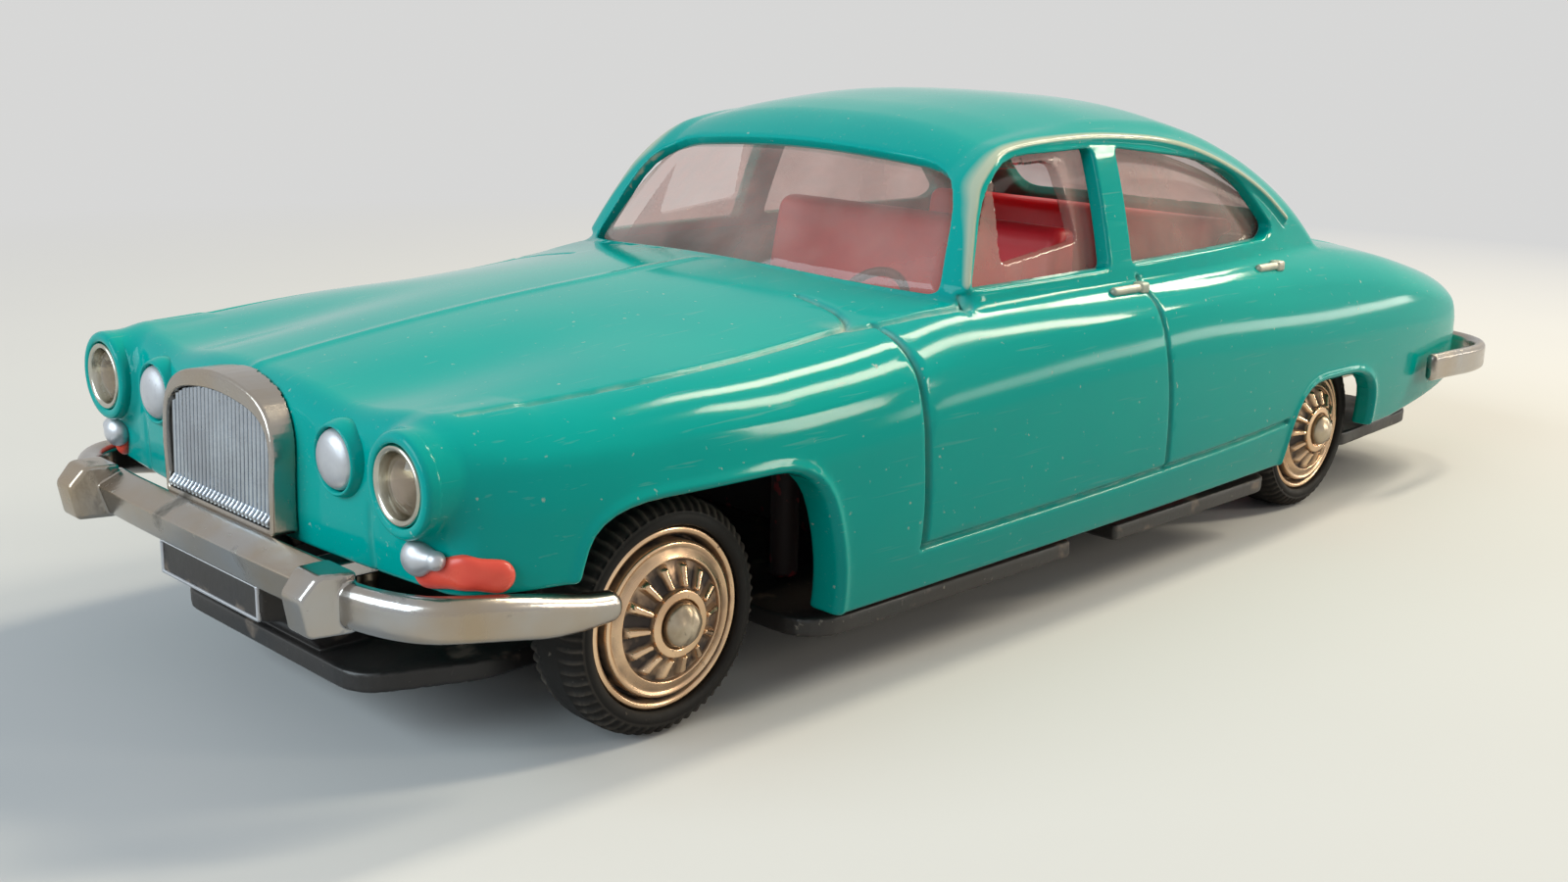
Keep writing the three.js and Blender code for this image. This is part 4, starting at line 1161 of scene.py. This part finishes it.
DOME_OUTLINE = [
    (0, -57.85, 0), (0.8, -57.79, 0.5), (1.35, -57.58, 0.4), (1.62, -57.25, 0.2), (1.63, -56.9, 0.1),
    (1.63, -56, 0.1), (0, -56, 0),
]


def add_pair(name, made, material, slot="body_plastic", solid=False):
    """The same piece on the car's left and right; a solid one replaces the CAD nodes of its name."""
    for side, mesh in (("left", made), ("right", flipped(*made))):
        node = f"{name}_{side}"
        add_mesh(node, *mesh, material, slot=slot, replaces=node if solid else None)


def add_lamps():
    outer = (OUTER_LAMP_X, 0, LAMP_Z)
    inner = (INNER_LAMP_X, 0, LAMP_Z)
    for name, outline, centre, steps, material, slot in (
        ("headlamp_bowl", BOWL_OUTLINE, outer, 48, plated_bowl, "plated_trim"),
        ("headlamp_lens", LENS_OUTLINE, outer, 40, clear_lens, "lens"),
        ("inner_lamp", DOME_OUTLINE, inner, 48, silver_paint, "plated_trim"),
    ):
        add_pair(name, lathe(rounded_outline(outline, 5), 1, centre, steps), material, slot, True)
    add_pair("headlamp_hood", lathe(rounded_outline(HOOD_RING, 4), 1, outer, 56), body_plastic)
    add_pair("inner_lamp_collar", lathe(rounded_outline(COLLAR_RING, 4), 1, inner, 48), body_plastic)
    drop = mesh_form(indicator_form, (15, -58.5, 10.8), (22, -52, 14.6), 0.22, rounds=1)
    add_pair("indicator", drop, orange_paint)
    light = mesh_form(sidelight_form, (15.8, -58.5, 12), (20, -55.5, 14.8), 0.18, rounds=1)
    add_pair("sidelight", light, silver_paint)
    for name, *place in (("front_handle", -2.8, 1.1, 21.65), ("rear_handle", 17.2, 20.6, 21.5)):
        add_pair(name, mesh_form(*handle_form(*place), 0.16, rounds=1), cream_paint)


def add_wheels():
    hub = lathe(rounded_outline(HUB_OUTLINE, 3), 0, (0, 0, 0), 12 * HUB_RIBS, ribbed)
    tyre = lathe(rounded_outline(TYRE_OUTLINE, 3), 0, (0, 0, 0), 4 * TYRE_LUGS, lugged)
    for end, y in (("front", FRONT_AXLE_Y), ("rear", REAR_AXLE_Y)):
        for side in ("left", "right"):
            for kind, made, marks, material, slot in (
                ("hub", hub, hub_shade_and_dirt(hub[0]), plated_hub, "plated_hub"),
                ("tyre", tyre, tyre_marks(tyre[0]), rubber, "tyre"),
            ):
                points, normals, triangles = made if side == "left" else flipped(*made)
                points = points + np.array([0, y, WHEEL_Z])
                name = f"{kind}_{end}_{side}"
                wheel = f"wheel_{end}_{side}"
                add_mesh(name, points, normals, triangles, material, wheel, slot, name, marks)
        axle = lathe(axle_outline(), 0, (0, y, WHEEL_Z), 40, dented)
        add_mesh(f"{end}_axle", *axle, steel, slot="steel", replaces=f"{end}_axle")


def add_chassis():
    add_form(
        "glazing", glazing_form, (0, -24, 22), (18.5, 32, 34), 0.5, clear_glazing, share=0.45,
        slot="glazing", replaces="glazing",
    )
    tub = mesh_form(
        interior_form, (0, -30, 4.6), (15.5, 23.2, 26), 0.55, rounds=2, mirrored=True, share=0.35,
    )
    # Painted shade: the tub's low front and its pegs, in shadow behind the wheel arches, are darkened nearly
    # to black.
    shade_and_dirt = (1 - smooth(tub[0][:, 2], 14, 17.5)) * (1 - smooth(tub[0][:, 1], -19.5, -18))
    add_mesh("interior", *tub, red_plastic, slot="interior_plastic", replaces="interior", marks=shade_and_dirt)
    add_form(
        "steering_wheel", steering_wheel_form, (4, -18, 16.5), (12, -11.5, 23.5), 0.28, dark_plastic,
        mirrored=False, rounds=1, slot="interior_plastic", replaces="steering_wheel",
    )
    add_form(
        "baseplate", base_form, (0, -60, 3.2), (21.2, 54.6, 10), 0.45, base_plastic, rounds=1, share=0.25,
        slot="base_plastic", replaces="baseplate",
    )
    add_form(
        "plate_border", plate_border_form, (0, -60, 7), (6, -59, 9.8), 0.14, silver_paint, rounds=0,
        slot="base_plastic",
    )
    points, normals, triangles = mesh_form(screw_form, (-2, -2, 2.3), (2, 2, 12.8), 0.2, rounds=1)
    for end, y in BASE_SCREWS:
        name = f"base_screw_{end}"
        place = np.array([0, y, 0])
        add_mesh(name, points + place, normals, triangles, steel, slot="steel", replaces=name)
    add_form(
        "front_bumper", front_bumper_form, (0, -62.6, 8.2), (22, -47, 13.2), 0.3, plated_trim, share=0.6,
        slot="plated_trim", replaces="front_bumper",
    )
    add_form(
        "rear_bumper", rear_bumper_form, (0, 43.8, 5.6), (23, 62.6, 12.4), 0.35, plated_trim, share=0.5,
        slot="plated_trim", replaces="rear_bumper",
    )


add_shell()
add_chassis()
add_grille()
add_lamps()
add_wheels()


# Stage: floor, lamps and camera

CAMERA_AT = (85.72, -101.0, 39.65)
CAMERA_PITCH = math.radians(14.089)
CAMERA_ROLL = math.radians(1.474)
CAMERA_YAW = math.radians(134.709)
PHOTO_WIDTH = 1600
FOCAL_PIXELS = 1740.4
FLOOR_RADIUS = 3


def add_camera():
    data = bpy.data.cameras.new("camera")
    data.sensor_width = 36
    data.sensor_fit = "HORIZONTAL"
    data.lens = data.sensor_width * FOCAL_PIXELS / PHOTO_WIDTH
    data.clip_start = 0.005
    camera = new_object("camera", data)
    level = math.cos(CAMERA_PITCH)
    ahead = math.cos(CAMERA_YAW) * level, math.sin(CAMERA_YAW) * level
    forward = Vector((*ahead, -math.sin(CAMERA_PITCH)))
    right = Vector((math.sin(CAMERA_YAW), -math.cos(CAMERA_YAW), 0))
    up = right.cross(forward)
    across = right * math.cos(CAMERA_ROLL) + up * math.sin(CAMERA_ROLL)
    upward = up * math.cos(CAMERA_ROLL) - right * math.sin(CAMERA_ROLL)
    turn = Matrix((across, upward, -forward)).transposed().to_4x4()
    camera.matrix_world = Matrix.Translation(Vector(CAMERA_AT) * MM) @ turn
    bpy.context.scene.camera = camera


def add_lamp(name, place, size, power, colour):
    data = bpy.data.lights.new(name, "AREA")
    data.shape = "RECTANGLE"
    data.size, data.size_y = size
    data.energy = power
    data.color = colour
    lamp = new_object(name, data)
    lamp.location = place
    aim = Vector((0, 0, 0.015)) - Vector(place)
    lamp.rotation_euler = aim.to_track_quat("-Z", "Y").to_euler()


def add_floor():
    mesh = bpy.data.meshes.new("floor")
    turns = np.linspace(0, 2 * math.pi, 64, endpoint=False)
    ring = [(FLOOR_RADIUS * math.cos(a), FLOOR_RADIUS * math.sin(a), 0) for a in turns]
    mesh.from_pydata(ring, [], [list(range(64))])
    mesh.materials.append(floor_paper)
    floor = new_object("floor", mesh)


def add_world():
    """Soft light all round; what the camera, metal and glass see of it is as pale as the floor."""
    world = bpy.data.worlds.new("studio")
    world.use_nodes = True
    tree = world.node_tree
    tree.nodes.clear()
    seen = seen_rays(tree)
    colour = blend(tree, seen, (0.27, 0.275, 0.29), BACKDROP)
    background = put(tree, "Background", {"Color": colour, "Strength": 1.0})
    tree.links.new(background.outputs[0], put(tree, "OutputWorld").inputs["Surface"])
    bpy.context.scene.world = world


add_camera()
add_floor()
add_lamp("window_lamp_left", (0.02, 0.37, 0.38), (0.055, 0.3), 1.6, (1, 0.9, 0.7))
add_lamp("window_lamp_right", (0.2, 0.36, 0.33), (0.055, 0.28), 1.6, (1, 0.9, 0.7))
add_lamp("low_lamp", (0.42, 0.34, 0.17), (0.05, 0.14), 0.55, (1, 0.9, 0.74))
add_lamp("crease_lamp", (0.28, 0.44, 0.045), (0.3, 0.025), 0.16, (1, 0.95, 0.85))
add_lamp("sky_lamp", (-0.1, -0.5, 0.26), (0.5, 0.3), 2.7, (0.78, 0.92, 1))
add_world()
bpy.context.scene.view_settings.view_transform = "Standard"
